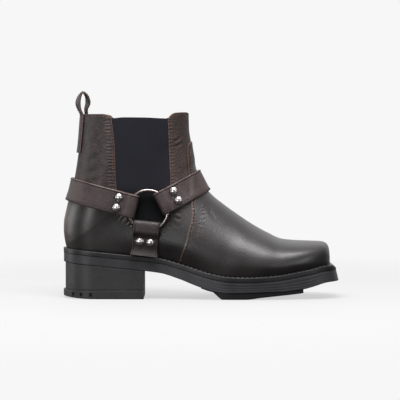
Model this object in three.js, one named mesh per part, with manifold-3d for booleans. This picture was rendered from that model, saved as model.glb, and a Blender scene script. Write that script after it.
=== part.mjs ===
// A man's harness ankle boot for the right foot, with elastic sides and a block heel.
// Millimetres, +Z up, toe towards +X, the boot's left (inner) side towards +Y.
// The origin is the middle of the bounding box's underside.

import * as THREE from 'three';
import { mergeVertices } from 'three/addons/utils/BufferGeometryUtils.js';
import Module from 'manifold-3d';

const wasm = await Module();
wasm.setup();

// Driving sizes
const soleLength = 305;
const ballWidth = 104;
const bootHeight = 205;
const seatHeight = 55;
const heelLength = 89.5;
const topliftHeight = 9.7;
const toeLift = 20;
const edgeThickness = 14.5;
const weltThickness = 4.2;
const weltSlope = 0.8;
const ledgeSide = 4.5;
const ledgeHeel = 2.6;
const ledgeToe = 8.2;
const outsoleReach = 2.8;
const heelInset = 2.1;
const heelFlush = 0.5;
const wall = 2.4;
const overlay = 1.2;
const insoleThickness = 4;
const strapThickness = 2.2;
const strapWidth = 26;
const strapEase = 1.6;
const lowStrapWidth = 28;
const lowStrapFoot = 32.5;
const ringRadius = 21.8;
const ringWire = 4.3;
const rivetDiameter = 8;
const rivetHeight = 2.4;
const rivetSpacing = 11.6;
const rivetDistance = 34.5;
const loopWidth = 24;
const loopShift = -3;
const loopHeight = 25;
const loopLength = 15;
const loopTail = 2.1;
const loopLow = 0.78 * bootHeight;
const loopInner = 0.888 * bootHeight;
const goreSetBack = 0.7;
const goreThickness = 1.4;
const slotWidth = 3.4;
const slotHeight = 4.2;
const slotDepth = 3;
const lugGroove = 4.5;
const lugDepth = 3.2;
const lugRim = 3;
const treadInset = 6;
const treadThin = 1.2;
const weltDrop = 3.2;
const weltRound = 5.5;
const gap = 0.3;

// Sizes that follow from them
const lastLength = soleLength - ledgeHeel - ledgeToe - outsoleReach;
const lastHeel = ledgeHeel;
const lastToe = lastHeel + lastLength;
const shaftRise = bootHeight - seatHeight;
const heelRound = 0.3 * ballWidth;
const toeRound = 0.46 * ballWidth;
const across = 2 * ballWidth;

// Number of steps along and across the upper's form and the sole, and the closest rows
const stepsPerStation = 1.125;
const stepsPerSide = 11;
const soleSteps = 22;
const endSteps = 6;
const closest = 2;

// Profile of the sole. at: share of lastLength from the back of the last; top: height of
// the seat and welt, share of seatHeight; edge: thickness of the side, share of
// edgeThickness; tread: lowest line under the sole, share of toeLift.
const SOLE = [
  { at: -0.01, top: 1.008, edge: 1.0, tread: 0 },
  { at: 0.137, top: 0.932, edge: 1.0, tread: 0 },
  { at: 0.243, top: 0.874, edge: 1.0, tread: 0 },
  { at: 0.36, top: 0.805, edge: 1.01, tread: 0 },
  { at: 0.435, top: 0.703, edge: 1.08, tread: 0 },
  { at: 0.495, top: 0.602, edge: 1.17, tread: 0 },
  { at: 0.556, top: 0.506, edge: 1.21, tread: 0 },
  { at: 0.618, top: 0.452, edge: 1.15, tread: 0 },
  { at: 0.682, top: 0.44, edge: 1.09, tread: 0 },
  { at: 0.737, top: 0.449, edge: 1.08, tread: 0.09 },
  { at: 0.804, top: 0.477, edge: 1.17, tread: 0.185 },
  { at: 0.862, top: 0.528, edge: 1.27, tread: 0.265 },
  { at: 0.9, top: 0.565, edge: 1.31, tread: 0.335 },
  { at: 0.93, top: 0.594, edge: 1.26, tread: 0.52 },
  { at: 0.985, top: 0.653, edge: 1.16, tread: 0.85 },
  { at: 1.04, top: 0.66, edge: 1.1, tread: 1.0 },
];

// Plan of the last at its feather edge. at: share of lastLength; outer, inner: half
// widths on the outer and inner side, shares of ballWidth.
const PLAN = [
  { at: -0.03, outer: 0.31, inner: 0.31 },
  { at: 0.12, outer: 0.318, inner: 0.315 },
  { at: 0.24, outer: 0.318, inner: 0.3 },
  { at: 0.36, outer: 0.325, inner: 0.27 },
  { at: 0.46, outer: 0.365, inner: 0.29 },
  { at: 0.55, outer: 0.42, inner: 0.37 },
  { at: 0.63, outer: 0.452, inner: 0.445 },
  { at: 0.71, outer: 0.45, inner: 0.482 },
  { at: 0.8, outer: 0.418, inner: 0.47 },
  { at: 0.9, outer: 0.36, inner: 0.42 },
  { at: 1.04, outer: 0.3, inner: 0.37 },
];

// Back line of the heel and shaft. rise: share of shaftRise above the seat; at: share
// of lastLength from the back of the last.
const BACK = [
  { rise: 0, at: 0.001 },
  { rise: 0.07, at: -0.006 },
  { rise: 0.13, at: -0.009 },
  { rise: 0.2, at: -0.008 },
  { rise: 0.25, at: -0.003 },
  { rise: 0.33, at: 0.0065 },
  { rise: 0.44, at: 0.0245 },
  { rise: 0.55, at: 0.036 },
  { rise: 0.66, at: 0.045 },
  { rise: 0.78, at: 0.053 },
  { rise: 0.9, at: 0.058 },
  { rise: 1.03, at: 0.063 },
];

// Sections of the upper, from the toe over the instep and up the shaft. Each is a slice
// from a foot point on the feather edge or the back line to a head point on the front.
// foot: foot point, share of lastLength, for slices that start on the feather edge;
// rise: its height on the back line, share of shaftRise, for the others;
// head: head point, share of lastLength; height: share of bootHeight above the floor;
// mid, high: half widths low and high on the side, shares of ballWidth; shift: how far
// the head lies towards the inner side, share of ballWidth; crown: share of the slice
// over which it rounds off to the head; power: squareness of that rounding;
// nape: share of ballWidth over which the back rounds off.
const SECTIONS = [
  { foot: 1.0, rise: 0, head: 1, height: 0.237, mid: 0.35, high: 0.35, shift: 0.035, crown: 0.5, power: 2.2, nape: 0.3 },
  { foot: 0.997, rise: 0, head: 0.998, height: 0.267, mid: 0.35, high: 0.35, shift: 0.035, crown: 0.55, power: 2.6, nape: 0.3 },
  { foot: 0.987, rise: 0, head: 0.989, height: 0.288, mid: 0.36, high: 0.355, shift: 0.035, crown: 0.62, power: 2.8, nape: 0.3 },
  { foot: 0.967, rise: 0, head: 0.971, height: 0.295, mid: 0.375, high: 0.37, shift: 0.035, crown: 0.68, power: 2.8, nape: 0.3 },
  { foot: 0.925, rise: 0, head: 0.932, height: 0.297, mid: 0.405, high: 0.395, shift: 0.035, crown: 0.74, power: 2.7, nape: 0.3 },
  { foot: 0.868, rise: 0, head: 0.877, height: 0.3, mid: 0.445, high: 0.43, shift: 0.034, crown: 0.78, power: 2.55, nape: 0.3 },
  { foot: 0.803, rise: 0, head: 0.824, height: 0.308, mid: 0.478, high: 0.46, shift: 0.03, crown: 0.8, power: 2.35, nape: 0.3 },
  { foot: 0.732, rise: 0, head: 0.763, height: 0.346, mid: 0.496, high: 0.47, shift: 0.024, crown: 0.8, power: 2.15, nape: 0.3 },
  { foot: 0.65, rise: 0, head: 0.701, height: 0.396, mid: 0.487, high: 0.455, shift: 0.016, crown: 0.78, power: 2.05, nape: 0.3 },
  { foot: 0.567, rise: 0, head: 0.647, height: 0.448, mid: 0.455, high: 0.43, shift: 0.01, crown: 0.74, power: 2.0, nape: 0.3 },
  { foot: 0.479, rise: 0, head: 0.599, height: 0.497, mid: 0.425, high: 0.41, shift: 0.005, crown: 0.68, power: 2.0, nape: 0.3 },
  { foot: 0.386, rise: 0, head: 0.557, height: 0.545, mid: 0.398, high: 0.395, shift: 0.002, crown: 0.62, power: 2.0, nape: 0.3 },
  { foot: 0.292, rise: 0, head: 0.528, height: 0.592, mid: 0.372, high: 0.385, shift: 0, crown: 0.55, power: 2.0, nape: 0.3 },
  { foot: 0.198, rise: 0, head: 0.51, height: 0.64, mid: 0.352, high: 0.378, shift: 0, crown: 0.48, power: 2.0, nape: 0.31 },
  { foot: 0.115, rise: 0, head: 0.494, height: 0.688, mid: 0.342, high: 0.373, shift: 0, crown: 0.42, power: 2.0, nape: 0.32 },
  { foot: 0.052, rise: 0, head: 0.488, height: 0.726, mid: 0.34, high: 0.37, shift: 0, crown: 0.38, power: 2.0, nape: 0.33 },
  { foot: 0.014, rise: 0, head: 0.487, height: 0.748, mid: 0.342, high: 0.368, shift: 0, crown: 0.35, power: 2.0, nape: 0.34 },
  { foot: 0.0, rise: 0.01, head: 0.485, height: 0.766, mid: 0.345, high: 0.368, shift: 0, crown: 0.34, power: 2.0, nape: 0.34 },
  { foot: 0.0, rise: 0.1, head: 0.4805, height: 0.8, mid: 0.35, high: 0.37, shift: 0, crown: 0.34, power: 2.0, nape: 0.35 },
  { foot: 0.0, rise: 0.21, head: 0.477, height: 0.838, mid: 0.356, high: 0.374, shift: 0, crown: 0.35, power: 2.0, nape: 0.37 },
  { foot: 0.0, rise: 0.34, head: 0.4725, height: 0.872, mid: 0.362, high: 0.378, shift: 0, crown: 0.36, power: 2.05, nape: 0.38 },
  { foot: 0.0, rise: 0.5, head: 0.4695, height: 0.906, mid: 0.37, high: 0.382, shift: 0, crown: 0.37, power: 2.1, nape: 0.39 },
  { foot: 0.0, rise: 0.67, head: 0.4685, height: 0.944, mid: 0.377, high: 0.386, shift: 0, crown: 0.38, power: 2.1, nape: 0.4 },
  { foot: 0.0, rise: 0.84, head: 0.468, height: 0.98, mid: 0.382, high: 0.388, shift: 0, crown: 0.38, power: 2.1, nape: 0.4 },
  { foot: 0.0, rise: 1.03, head: 0.4675, height: 1.02, mid: 0.385, high: 0.39, shift: 0, crown: 0.38, power: 2.1, nape: 0.4 },
];

// Collar line seen from the side. at: share of lastLength; height: share of bootHeight.
const COLLAR = [
  { at: -0.06, height: 0.988 },
  { at: 0.09, height: 0.99 },
  { at: 0.145, height: 0.99 },
  { at: 0.163, height: 0.984 },
  { at: 0.179, height: 0.967 },
  { at: 0.225, height: 0.972 },
  { at: 0.3, height: 0.971 },
  { at: 0.391, height: 0.966 },
  { at: 0.405, height: 0.986 },
  { at: 0.422, height: 0.997 },
  { at: 0.46, height: 1.0 },
  { at: 0.467, height: 0.996 },
  { at: 0.52, height: 0.98 },
];

// Edge of the elastic panel seen from the side, down the back, round the foot and up.
const GORE = [
  { at: 0.179, height: 1.08 },
  { at: 0.179, height: 0.967 },
  { at: 0.19, height: 0.83 },
  { at: 0.197, height: 0.6 },
  { at: 0.212, height: 0.51 },
  { at: 0.242, height: 0.445 },
  { at: 0.285, height: 0.412 },
  { at: 0.335, height: 0.405 },
  { at: 0.374, height: 0.42 },
  { at: 0.395, height: 0.455 },
  { at: 0.401, height: 0.51 },
  { at: 0.4, height: 0.62 },
  { at: 0.396, height: 0.77 },
  { at: 0.391, height: 0.966 },
  { at: 0.391, height: 1.08 },
];

// Edge of the vamp and its tongue seen from the side, from the front over the tongue's
// top and down to the welt.
const VAMP = [
  { at: 1.2, height: 0.9 },
  { at: 0.49, height: 0.85 },
  { at: 0.474, height: 0.84 },
  { at: 0.464, height: 0.825 },
  { at: 0.461, height: 0.8 },
  { at: 0.466, height: 0.68 },
  { at: 0.476, height: 0.54 },
  { at: 0.478, height: 0.42 },
  { at: 0.468, height: 0.375 },
  { at: 0.459, height: 0.31 },
  { at: 0.438, height: 0.23 },
  { at: 0.42, height: 0.12 },
  { at: 1.2, height: 0.02 },
];

// Slots in the side of the top lift, shares of heelLength from its back.
const SLOTS = [0.135, 0.237, 0.355];

// Where the ring's middle is seen from the side, shares of lastLength and bootHeight.
const RING = { at: 0.317, height: 0.475 };

// Slopes of the straps away from the ring, in degrees seen from the side.
const REAR_SLOPE = 165.5;
const FRONT_SLOPE = 28;
const LOW_SLOPE = 264.5;

// Colours from the photograph
const COLOURS = {
  leather: 0x3b3431,
  strap: 0x46393a,
  elastic: 0x26262b,
  rubber: 0x1e1e1f,
  welt: 0x2c2c2c,
  lining: 0x4a3a30,
  nickel: 0xb9b4b0,
};

// Smooth tables: a cubic through the rows that never overshoots them
function curve(rows, key, value) {
  const x = rows.map((row) => row[key]);
  const y = rows.map((row) => row[value]);
  const rises = x.slice(1).map((end, i) => (y[i + 1] - y[i]) / (end - x[i]));
  const slope = y.map((_, i) => {
    const [before, after] = [rises[i - 1] ?? rises[i], rises[i] ?? rises[i - 1]];
    return before * after <= 0 ? 0 : (2 * before * after) / (before + after);
  });
  return (place) => {
    const p = Math.min(Math.max(place, x[0]), x.at(-1));
    const i = Math.min(Math.max(x.findIndex((start) => start >= p), 1), x.length - 1);
    const step = x[i] - x[i - 1];
    const t = (p - x[i - 1]) / step;
    const rest = 1 - t;
    return y[i - 1] * (1 + 2 * t) * rest * rest + slope[i - 1] * step * t * rest * rest
      + y[i] * t * t * (3 - 2 * t) - slope[i] * step * t * t * rest;
  };
}

function stationCurve(value) {
  const rows = SECTIONS.map((row, i) => ({ place: i, value: row[value] }));
  return curve(rows, 'place', 'value');
}

const soleTop = curve(SOLE, 'at', 'top');
const soleEdge = curve(SOLE, 'at', 'edge');
const soleTread = curve(SOLE, 'at', 'tread');
const planOuter = curve(PLAN, 'at', 'outer');
const planInner = curve(PLAN, 'at', 'inner');
const backAt = curve(BACK, 'rise', 'at');
const station = Object.fromEntries(
  Object.keys(SECTIONS[0]).map((name) => [name, stationCurve(name)]),
);

const share = (x) => (x - lastHeel) / lastLength;
const seatZ = (x) => seatHeight * soleTop(share(x));
const underZ = (x) => seatZ(x) - weltSlope - edgeThickness * soleEdge(share(x));
const treadZ = (x) => toeLift * soleTread(share(x));
const backX = (z) => lastHeel + lastLength * backAt((z - seatHeight) / shaftRise);

// A quarter of a superellipse: 0 at distance 0, 1 from the given reach on
function rounded(distance, reach, power) {
  const left = Math.min(Math.max(1 - distance / reach, 0), 1);
  return Math.pow(1 - Math.pow(left, power), 1 / power);
}

// Squareness of the rounded ends, and how flat they are at their very ends
const toePower = 3.6;
const heelPower = 2.1;
const toeFlat = 0.35;
const heelFlat = 0.12;

// How much of the sole's swing the side of the upper follows, and where it is widest
const swing = 0.6;
const widest = 0.3;

// Half width of the sole's layers, with ledges beyond the feather edge
function planHalf(x, side, ledge = 0, heel = 0, toe = 0) {
  const width = ballWidth * (side < 0 ? planOuter : planInner)(share(x)) + ledge;
  const fromHeel = rounded(x - (lastHeel - heel) + heelFlat, heelRound + heel, heelPower);
  const fromToe = rounded(lastToe + toe + toeFlat - x, toeRound + toe, toePower);
  return width * fromHeel * fromToe;
}

// Middle line of the toe, which swings to the inner side
function planMiddle(x) {
  return (ballWidth * (planInner(share(x)) - planOuter(share(x)))) / 2;
}

function planY(x, side, ledge, heel, toe) {
  const outer = planHalf(x, -1, ledge, heel, toe);
  const inner = planHalf(x, 1, ledge, heel, toe);
  const narrow = rounded(lastToe + toe + toeFlat - x, toeRound + toe, toePower);
  const middle = planMiddle(x) * (1 - narrow);
  return middle + side * (side < 0 ? outer : inner);
}

// A point of the upper's form: place along the stations, t from foot 0 to head 1
function upperPoint(place, t, side) {
  const rise = station.rise(place);
  const onBack = rise >= SECTIONS.find((row) => row.rise > 0).rise;
  const footX = onBack
    ? backX(seatHeight + shaftRise * rise)
    : lastHeel + lastLength * station.foot(place);
  const footZ = rise > 0 ? seatZ(lastHeel) + shaftRise * rise : seatZ(footX);
  const headX = lastHeel + lastLength * station.head(place);
  const headZ = bootHeight * station.height(place);
  const x = footX + (headX - footX) * t;
  const z = footZ + (headZ - footZ) * t;
  const low = planLow(footX, side);
  const mid = ballWidth * station.mid(place) + side * planMiddle(x) * swing;
  const high = ballWidth * station.high(place);
  const blend = t < widest
    ? low + (mid - low) * Math.sin((Math.PI / 2) * (t / widest))
    : mid + (high - mid) * smooth((t - widest) / (1 - widest));
  const crown = rounded(1 - t, station.crown(place), station.power(place));
  const nape = rounded(x - backX(z), ballWidth * station.nape(place), heelPower);
  const toe = rounded(lastToe + toeFlat - x, toeRound, toePower);
  const shift = ballWidth * station.shift(place);
  const lean = shift * (1 - crown * toe);
  return new THREE.Vector3(x, lean + side * blend * crown * nape * toe, z);
}

function planLow(x, side) {
  return ballWidth * (side < 0 ? planOuter : planInner)(share(x));
}

function smooth(t) {
  const s = Math.min(Math.max(t, 0), 1);
  return s * s * (3 - 2 * s);
}

// Rows of points around the upper, from the outer foot over the head to the inner foot
function upperRows() {
  const rows = [];
  const count = (SECTIONS.length - 1) * stepsPerStation;
  for (let i = 0; i <= count; i += 1) {
    const place = i / stepsPerStation;
    const row = [];
    for (let k = -stepsPerSide; k <= stepsPerSide; k += 1) {
      const turn = 1 - Math.abs(k) / stepsPerSide;
      const t = (1 - Math.cos(Math.PI * turn)) / 2;
      row.push(upperPoint(place, t, k < 0 ? -1 : 1));
    }
    rows.push(row);
  }
  return rows;
}

const key = (p) => `${p.x.toFixed(4)},${p.y.toFixed(4)},${p.z.toFixed(4)}`;

// Outward directions of the rows' points, from the faces between them
function rowNormals(rows) {
  const sums = new Map();
  const add = (p, n) => {
    const sum = sums.get(key(p)) ?? new THREE.Vector3();
    sums.set(key(p), sum.add(n));
  };
  for (let i = 0; i + 1 < rows.length; i += 1) {
    for (let k = 0; k + 1 < rows[i].length; k += 1) {
      const [a, b, c, d] = [rows[i][k], rows[i][k + 1], rows[i + 1][k + 1], rows[i + 1][k]];
      const normal = c.clone().sub(a).cross(d.clone().sub(b));
      [a, b, c, d].forEach((p) => add(p, normal));
    }
  }
  const middle = rows.flat().reduce((s, p) => s.add(p), new THREE.Vector3()).divideScalar(rows.flat().length);
  const probe = rows[rows.length >> 1][2];
  const outward = Math.sign(sums.get(key(probe)).dot(probe.clone().sub(middle)));
  return rows.map((row) => row.map((p) => sums.get(key(p)).clone().normalize().multiplyScalar(outward)));
}

const baseRows = upperRows();
const baseNormals = rowNormals(baseRows);

// The upper's form grown by an offset; drop and lift carry it past sole and collar, and
// ease adds to the offset where the form faces forward or back
function upperForm(offset, drop = 0, lift = 0, ease = 0) {
  const grown = (p, normal) => p.clone().addScaledVector(normal, offset + ease * normal.x * normal.x);
  const rows = baseRows.map((row, i) => row.map((p, k) => grown(p, baseNormals[i][k])));
  if (drop > 0) {
    rows.forEach((row) => {
      const fall = row[0].z < seatHeight + overlay ? drop : 0;
      row.unshift(row[0].clone().setZ(row[0].z - fall));
      row.push(row.at(-1).clone().setZ(row.at(-1).z - fall));
    });
  }
  if (lift > 0) {
    rows.push(rows.at(-1).map((p) => p.clone().setZ(p.z + lift)));
  }
  return solidOfRows(rows);
}

// Closed solid from rings of equal count, with flat ends
function solidOfRows(rows) {
  const positions = [];
  const indices = [];
  const width = rows[0].length;
  rows.flat().forEach((p) => positions.push(p.x, p.y, p.z));
  for (let i = 0; i + 1 < rows.length; i += 1) {
    for (let k = 0; k < width; k += 1) {
      const a = i * width + k;
      const b = i * width + ((k + 1) % width);
      indices.push(a, b, b + width, a, b + width, a + width);
    }
  }
  [0, rows.length - 1].forEach((i) => {
    const middle = rows[i].reduce((s, p) => s.add(p), new THREE.Vector3()).divideScalar(width);
    const centre = positions.length / 3;
    positions.push(middle.x, middle.y, middle.z);
    for (let k = 0; k < width; k += 1) {
      const a = i * width + k;
      const b = i * width + ((k + 1) % width);
      indices.push(...(i === 0 ? [b, a, centre] : [a, b, centre]));
    }
  });
  const geometry = new THREE.BufferGeometry();
  geometry.setAttribute('position', new THREE.Float32BufferAttribute(positions, 3));
  geometry.setIndex(indices);
  return solid(geometry);
}

// A manifold solid from a closed geometry, with shared vertices and faces outwards
function solid(geometry) {
  const bare = geometry.clone();
  bare.deleteAttribute('normal');
  bare.deleteAttribute('uv');
  const merged = mergeVertices(bare, 1e-3);
  const index = merged.index.array;
  const position = merged.attributes.position;
  const corners = [];
  let volume = 0;
  const [a, b, c] = [new THREE.Vector3(), new THREE.Vector3(), new THREE.Vector3()];
  for (let i = 0; i < index.length; i += 3) {
    const [u, v, w] = [index[i], index[i + 1], index[i + 2]];
    if (u !== v && v !== w && w !== u) {
      corners.push(u, v, w);
      a.fromBufferAttribute(position, u);
      b.fromBufferAttribute(position, v);
      c.fromBufferAttribute(position, w);
      volume += a.dot(b.cross(c));
    }
  }
  if (volume < 0) {
    for (let i = 0; i < corners.length; i += 3) {
      [corners[i], corners[i + 1]] = [corners[i + 1], corners[i]];
    }
  }
  return new wasm.Manifold(new wasm.Mesh({
    numProp: 3,
    vertProperties: new Float32Array(position.array),
    triVerts: new Uint32Array(corners),
  }));
}

function geometryOf(manifold) {
  const mesh = manifold.getMesh();
  const geometry = new THREE.BufferGeometry();
  geometry.setAttribute('position', new THREE.BufferAttribute(new Float32Array(mesh.vertProperties), 3));
  geometry.setIndex(new THREE.BufferAttribute(new Uint32Array(mesh.triVerts), 1));
  return geometry;
}

// A prism seen from the side: points in X and Z, from y0 to y1
function sidePrism(points, y0, y1) {
  const shape = new THREE.Shape(points.map(([x, z]) => new THREE.Vector2(x, z)));
  const geometry = new THREE.ExtrudeGeometry(shape, { depth: y1 - y0, bevelEnabled: false });
  geometry.rotateX(Math.PI / 2);
  geometry.translate(0, y1, 0);
  return solid(geometry);
}

const sidePoint = ({ at, height }) => [lastHeel + lastLength * at, bootHeight * height];

// Rounds a chain of side points with a Catmull-Rom spline
function smoothLine(points, steps) {
  const places = points.map(([x, z]) => new THREE.Vector3(x, z, 0));
  const line = new THREE.CatmullRomCurve3(places, false, 'centripetal');
  return line.getPoints(steps).map((p) => [p.x, p.y]);
}

// A closed outline of side points moved inwards by a distance
function inset(points, distance) {
  const turn = Math.sign(THREE.ShapeUtils.area(points.map(([x, z]) => new THREE.Vector2(x, z))));
  return points.map((p, i) => {
    const before = points.at(i - 1);
    const after = points[(i + 1) % points.length];
    const along = new THREE.Vector2(after[0] - before[0], after[1] - before[1]).normalize();
    return [p[0] - turn * along.y * distance, p[1] + turn * along.x * distance];
  });
}

// Places of a layer's rows: close together where its ends round off, and at shared
// places between, so that layers on each other have the same facets
function layerPlaces(x0, x1, roundStart, roundFinish) {
  const turns = Array.from({ length: endSteps + 1 }, (_, i) => (Math.PI / 2) * (i / endSteps));
  const steps = turns.map((turn) => (1 - Math.cos(turn)) ** 1.25);
  const places = new Set();
  steps.forEach((step) => {
    places.add(roundStart ? x0 + heelRound * step : x0);
    places.add(roundFinish ? x1 - toeRound * step : x1);
  });
  const first = roundStart ? x0 + heelRound : x0;
  const last = roundFinish ? x1 - toeRound : x1;
  for (let i = 0; i <= soleSteps; i += 1) {
    const x = lastHeel + (lastLength * i) / soleSteps;
    if (x > first + closest && x < last - closest) {
      places.add(x);
    }
  }
  return [...places].sort((a, b) => a - b);
}

// Layers of the sole: rows of four points, or eight with a bevel, lying across the foot
function soleLayer({ x0, x1, top, bottom, ledge, heel, toe, bevel = 0, lean = 0 }) {
  const roundStart = x0 < lastHeel + heelRound / 2;
  const roundFinish = x1 > lastToe - toeRound / 4;
  const rows = layerPlaces(x0, x1, roundStart, roundFinish).map((x) => {
    const inner = planY(x, 1, ledge, heel, toe);
    const outer = planY(x, -1, ledge, heel, toe);
    const forward = lean * smooth((x - x1) / toeRound + 1);
    const [high, deep] = [top(x), bottom(x)];
    if (bevel === 0) {
      return [
        new THREE.Vector3(x, outer, high),
        new THREE.Vector3(x, inner, high),
        new THREE.Vector3(x + forward, inner, deep),
        new THREE.Vector3(x + forward, outer, deep),
      ];
    }
    const edge = Math.min(bevel, (inner - outer) / 4);
    return [
      new THREE.Vector3(x, outer + edge, high),
      new THREE.Vector3(x, inner - edge, high),
      new THREE.Vector3(x, inner, high - edge),
      new THREE.Vector3(x + forward, inner, deep + edge),
      new THREE.Vector3(x + forward, inner - edge, deep),
      new THREE.Vector3(x + forward, outer + edge, deep),
      new THREE.Vector3(x + forward, outer, deep + edge),
      new THREE.Vector3(x, outer, high - edge),
    ];
  });
  return solidOfRows(rows);
}

function box(length, width, height, x, y, z, turn = 0) {
  const geometry = new THREE.BoxGeometry(length, width, height);
  geometry.rotateZ(turn);
  geometry.translate(x, y, z);
  return solid(geometry);
}

const weltUnder = (x) => seatZ(x) - weltSlope - weltThickness;
const featherInset = wall + gap;

function buildWelt() {
  const front = lastToe + ledgeToe;
  const drop = (x) => weltDrop * Math.pow(Math.max(1 - (front - x) / weltRound, 0), 2);
  const plate = soleLayer({
    x0: lastHeel - ledgeHeel,
    x1: front,
    top: (x) => seatZ(x) - drop(x),
    bottom: weltUnder,
    ledge: ledgeSide,
    heel: ledgeHeel,
    toe: ledgeToe,
    bevel: weltSlope,
  });
  const hole = soleLayer({
    x0: lastHeel + featherInset,
    x1: lastToe - featherInset,
    top: (x) => seatZ(x) + weltThickness,
    bottom: (x) => weltUnder(x) - weltThickness,
    ledge: -featherInset,
    heel: -featherInset,
    toe: -featherInset,
  });
  return plate.subtract(hole);
}

function buildInsole() {
  const edge = featherInset + gap;
  return soleLayer({
    x0: lastHeel + edge,
    x1: lastToe - edge,
    top: (x) => weltUnder(x) + insoleThickness,
    bottom: weltUnder,
    ledge: -edge,
    heel: -edge,
    toe: -edge,
  });
}

// Forefoot tread: a set-back layer with grooves along both sides, inside a whole rim
function buildTread() {
  const back = treadBack;
  const front = treadFront;
  const ramp = (x) => treadRamp * (back + treadRound - x);
  const layer = soleLayer({
    x0: back,
    x1: front,
    top: (x) => underZ(x) + edgeThickness / 3,
    bottom: (x) => Math.min(Math.max(treadZ(x), ramp(x)), underZ(x) - treadThin),
    ledge: ledgeSide - treadInset,
    heel: ledgeHeel,
    toe: ledgeToe,
    bevel: 1,
  });
  const count = Math.floor((front - back - 2 * lugGroove) / (3 * lugGroove));
  let tread = layer;
  for (let i = 1; i <= count; i += 1) {
    const x = back + ((front - back) * (i + 0.2)) / (count + 1);
    [-1, 1].forEach((side) => {
      const reach = 0.24 * ballWidth;
      const edge = planY(x, side, ledgeSide - treadInset, ledgeHeel, ledgeToe);
      const y = edge - side * (lugRim + reach / 2);
      const z = treadZ(x) + lugDepth - reach / 2;
      tread = tread.subtract(box(lugGroove, reach, reach, x, y, z, side * 0.25));
    });
  }
  return tread;
}

const treadBack = lastHeel + 0.515 * lastLength;
const treadFront = lastHeel + 0.9 * lastLength;
const treadRound = 0.0755 * lastLength;
const treadRamp = 0.9;

function buildOutsole() {
  const plate = soleLayer({
    x0: lastHeel - ledgeHeel + gap,
    x1: lastToe + ledgeToe,
    top: (x) => weltUnder(x) - gap,
    bottom: underZ,
    ledge: ledgeSide - gap,
    heel: ledgeHeel - gap,
    toe: ledgeToe,
    bevel: weltSlope,
    lean: outsoleReach,
  });
  return plate.add(buildTread());
}

const heelLayer = {
  x1: lastHeel - ledgeHeel + heelLength,
  toe: ledgeToe,
};

function buildHeelBlock() {
  return soleLayer({
    ...heelLayer,
    x0: lastHeel - ledgeHeel + heelInset,
    top: (x) => underZ(x) - gap,
    bottom: () => topliftHeight,
    ledge: ledgeSide - heelFlush,
    heel: ledgeHeel - heelInset,
  });
}

const heelRocker = 0.14 * lastLength;
const heelRise = 2.6;

function buildToplift() {
  const start = lastHeel - ledgeHeel;
  const lift = (x) => heelRise * Math.pow(Math.max(1 - (x - start) / heelRocker, 0), 2);
  let toplift = soleLayer({
    ...heelLayer,
    x0: start,
    top: () => topliftHeight - gap,
    bottom: lift,
    ledge: ledgeSide,
    heel: ledgeHeel,
    bevel: 1.2,
  });
  SLOTS.forEach((at) => {
    const x = start + at * heelLength;
    [-1, 1].forEach((side) => {
      const y = planY(x, side, ledgeSide, ledgeHeel, ledgeToe);
      const z = topliftHeight - 1.2 * slotHeight + lift(x) / 2;
      toplift = toplift.subtract(box(slotWidth, 2 * slotDepth, slotHeight, x, y, z));
    });
  });
  return toplift;
}

// Cutters seen from the side
const far = 2 * soleLength;
const collarLine = smoothLine(COLLAR.map(sidePoint), 48);
const aboveCollar = sidePrism([
  [-far, collarLine[0][1]],
  ...collarLine,
  [far, collarLine.at(-1)[1]],
  [far, far],
  [-far, far],
], -across, across);

const seatSteps = 48;
const seatLine = Array.from({ length: seatSteps + 1 }, (_, i) => {
  const x = -ledgeToe + ((soleLength + 2 * ledgeToe) * i) / seatSteps;
  return [x, seatZ(x) + gap];
});
const belowSeat = sidePrism([
  [-far, seatHeight],
  ...seatLine,
  [far, seatHeight],
  [far, -far],
  [-far, -far],
], -across, across);

const goreLine = [
  sidePoint(GORE[0]),
  ...smoothLine(GORE.slice(1, -1).map(sidePoint), 22),
  sidePoint(GORE.at(-1)),
];
const goreOpening = sidePrism(goreLine, -across, across);
const vampLine = [
  sidePoint(VAMP[0]),
  ...smoothLine(VAMP.slice(1, -1).map(sidePoint), 30),
  sidePoint(VAMP.at(-1)),
];
const vampArea = sidePrism(vampLine, -across, across);

// The upper's outside with the raised vamp, grown by an offset
function skin(offset, ease = 0) {
  const raised = upperForm(offset + overlay, 0, 0, ease).intersect(vampArea);
  return upperForm(offset, 0, 0, ease).add(raised);
}

function buildUpper() {
  const inside = upperForm(-wall, 3 * wall, 5 * wall);
  return skin(0).subtract(inside).subtract(aboveCollar).subtract(belowSeat).subtract(goreOpening);
}

// Elastic panel: set back in the opening of the upper
function buildGore(side) {
  const area = sidePrism(inset(goreLine, gap), side < 0 ? -across : 0, side < 0 ? 0 : across);
  return upperForm(-goreSetBack)
    .subtract(upperForm(-goreSetBack - goreThickness))
    .intersect(area)
    .subtract(aboveCollar);
}

const plainSkin = skin(0);
const skinMesh = new THREE.Mesh(geometryOf(plainSkin), new THREE.MeshBasicMaterial({ side: THREE.DoubleSide }));
const ray = new THREE.Raycaster();

// First point of the skin met from a start in a direction
function meet(from, direction) {
  ray.set(from, direction);
  const hits = ray.intersectObject(skinMesh);
  return hits.length > 0 ? hits[0] : null;
}

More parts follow.
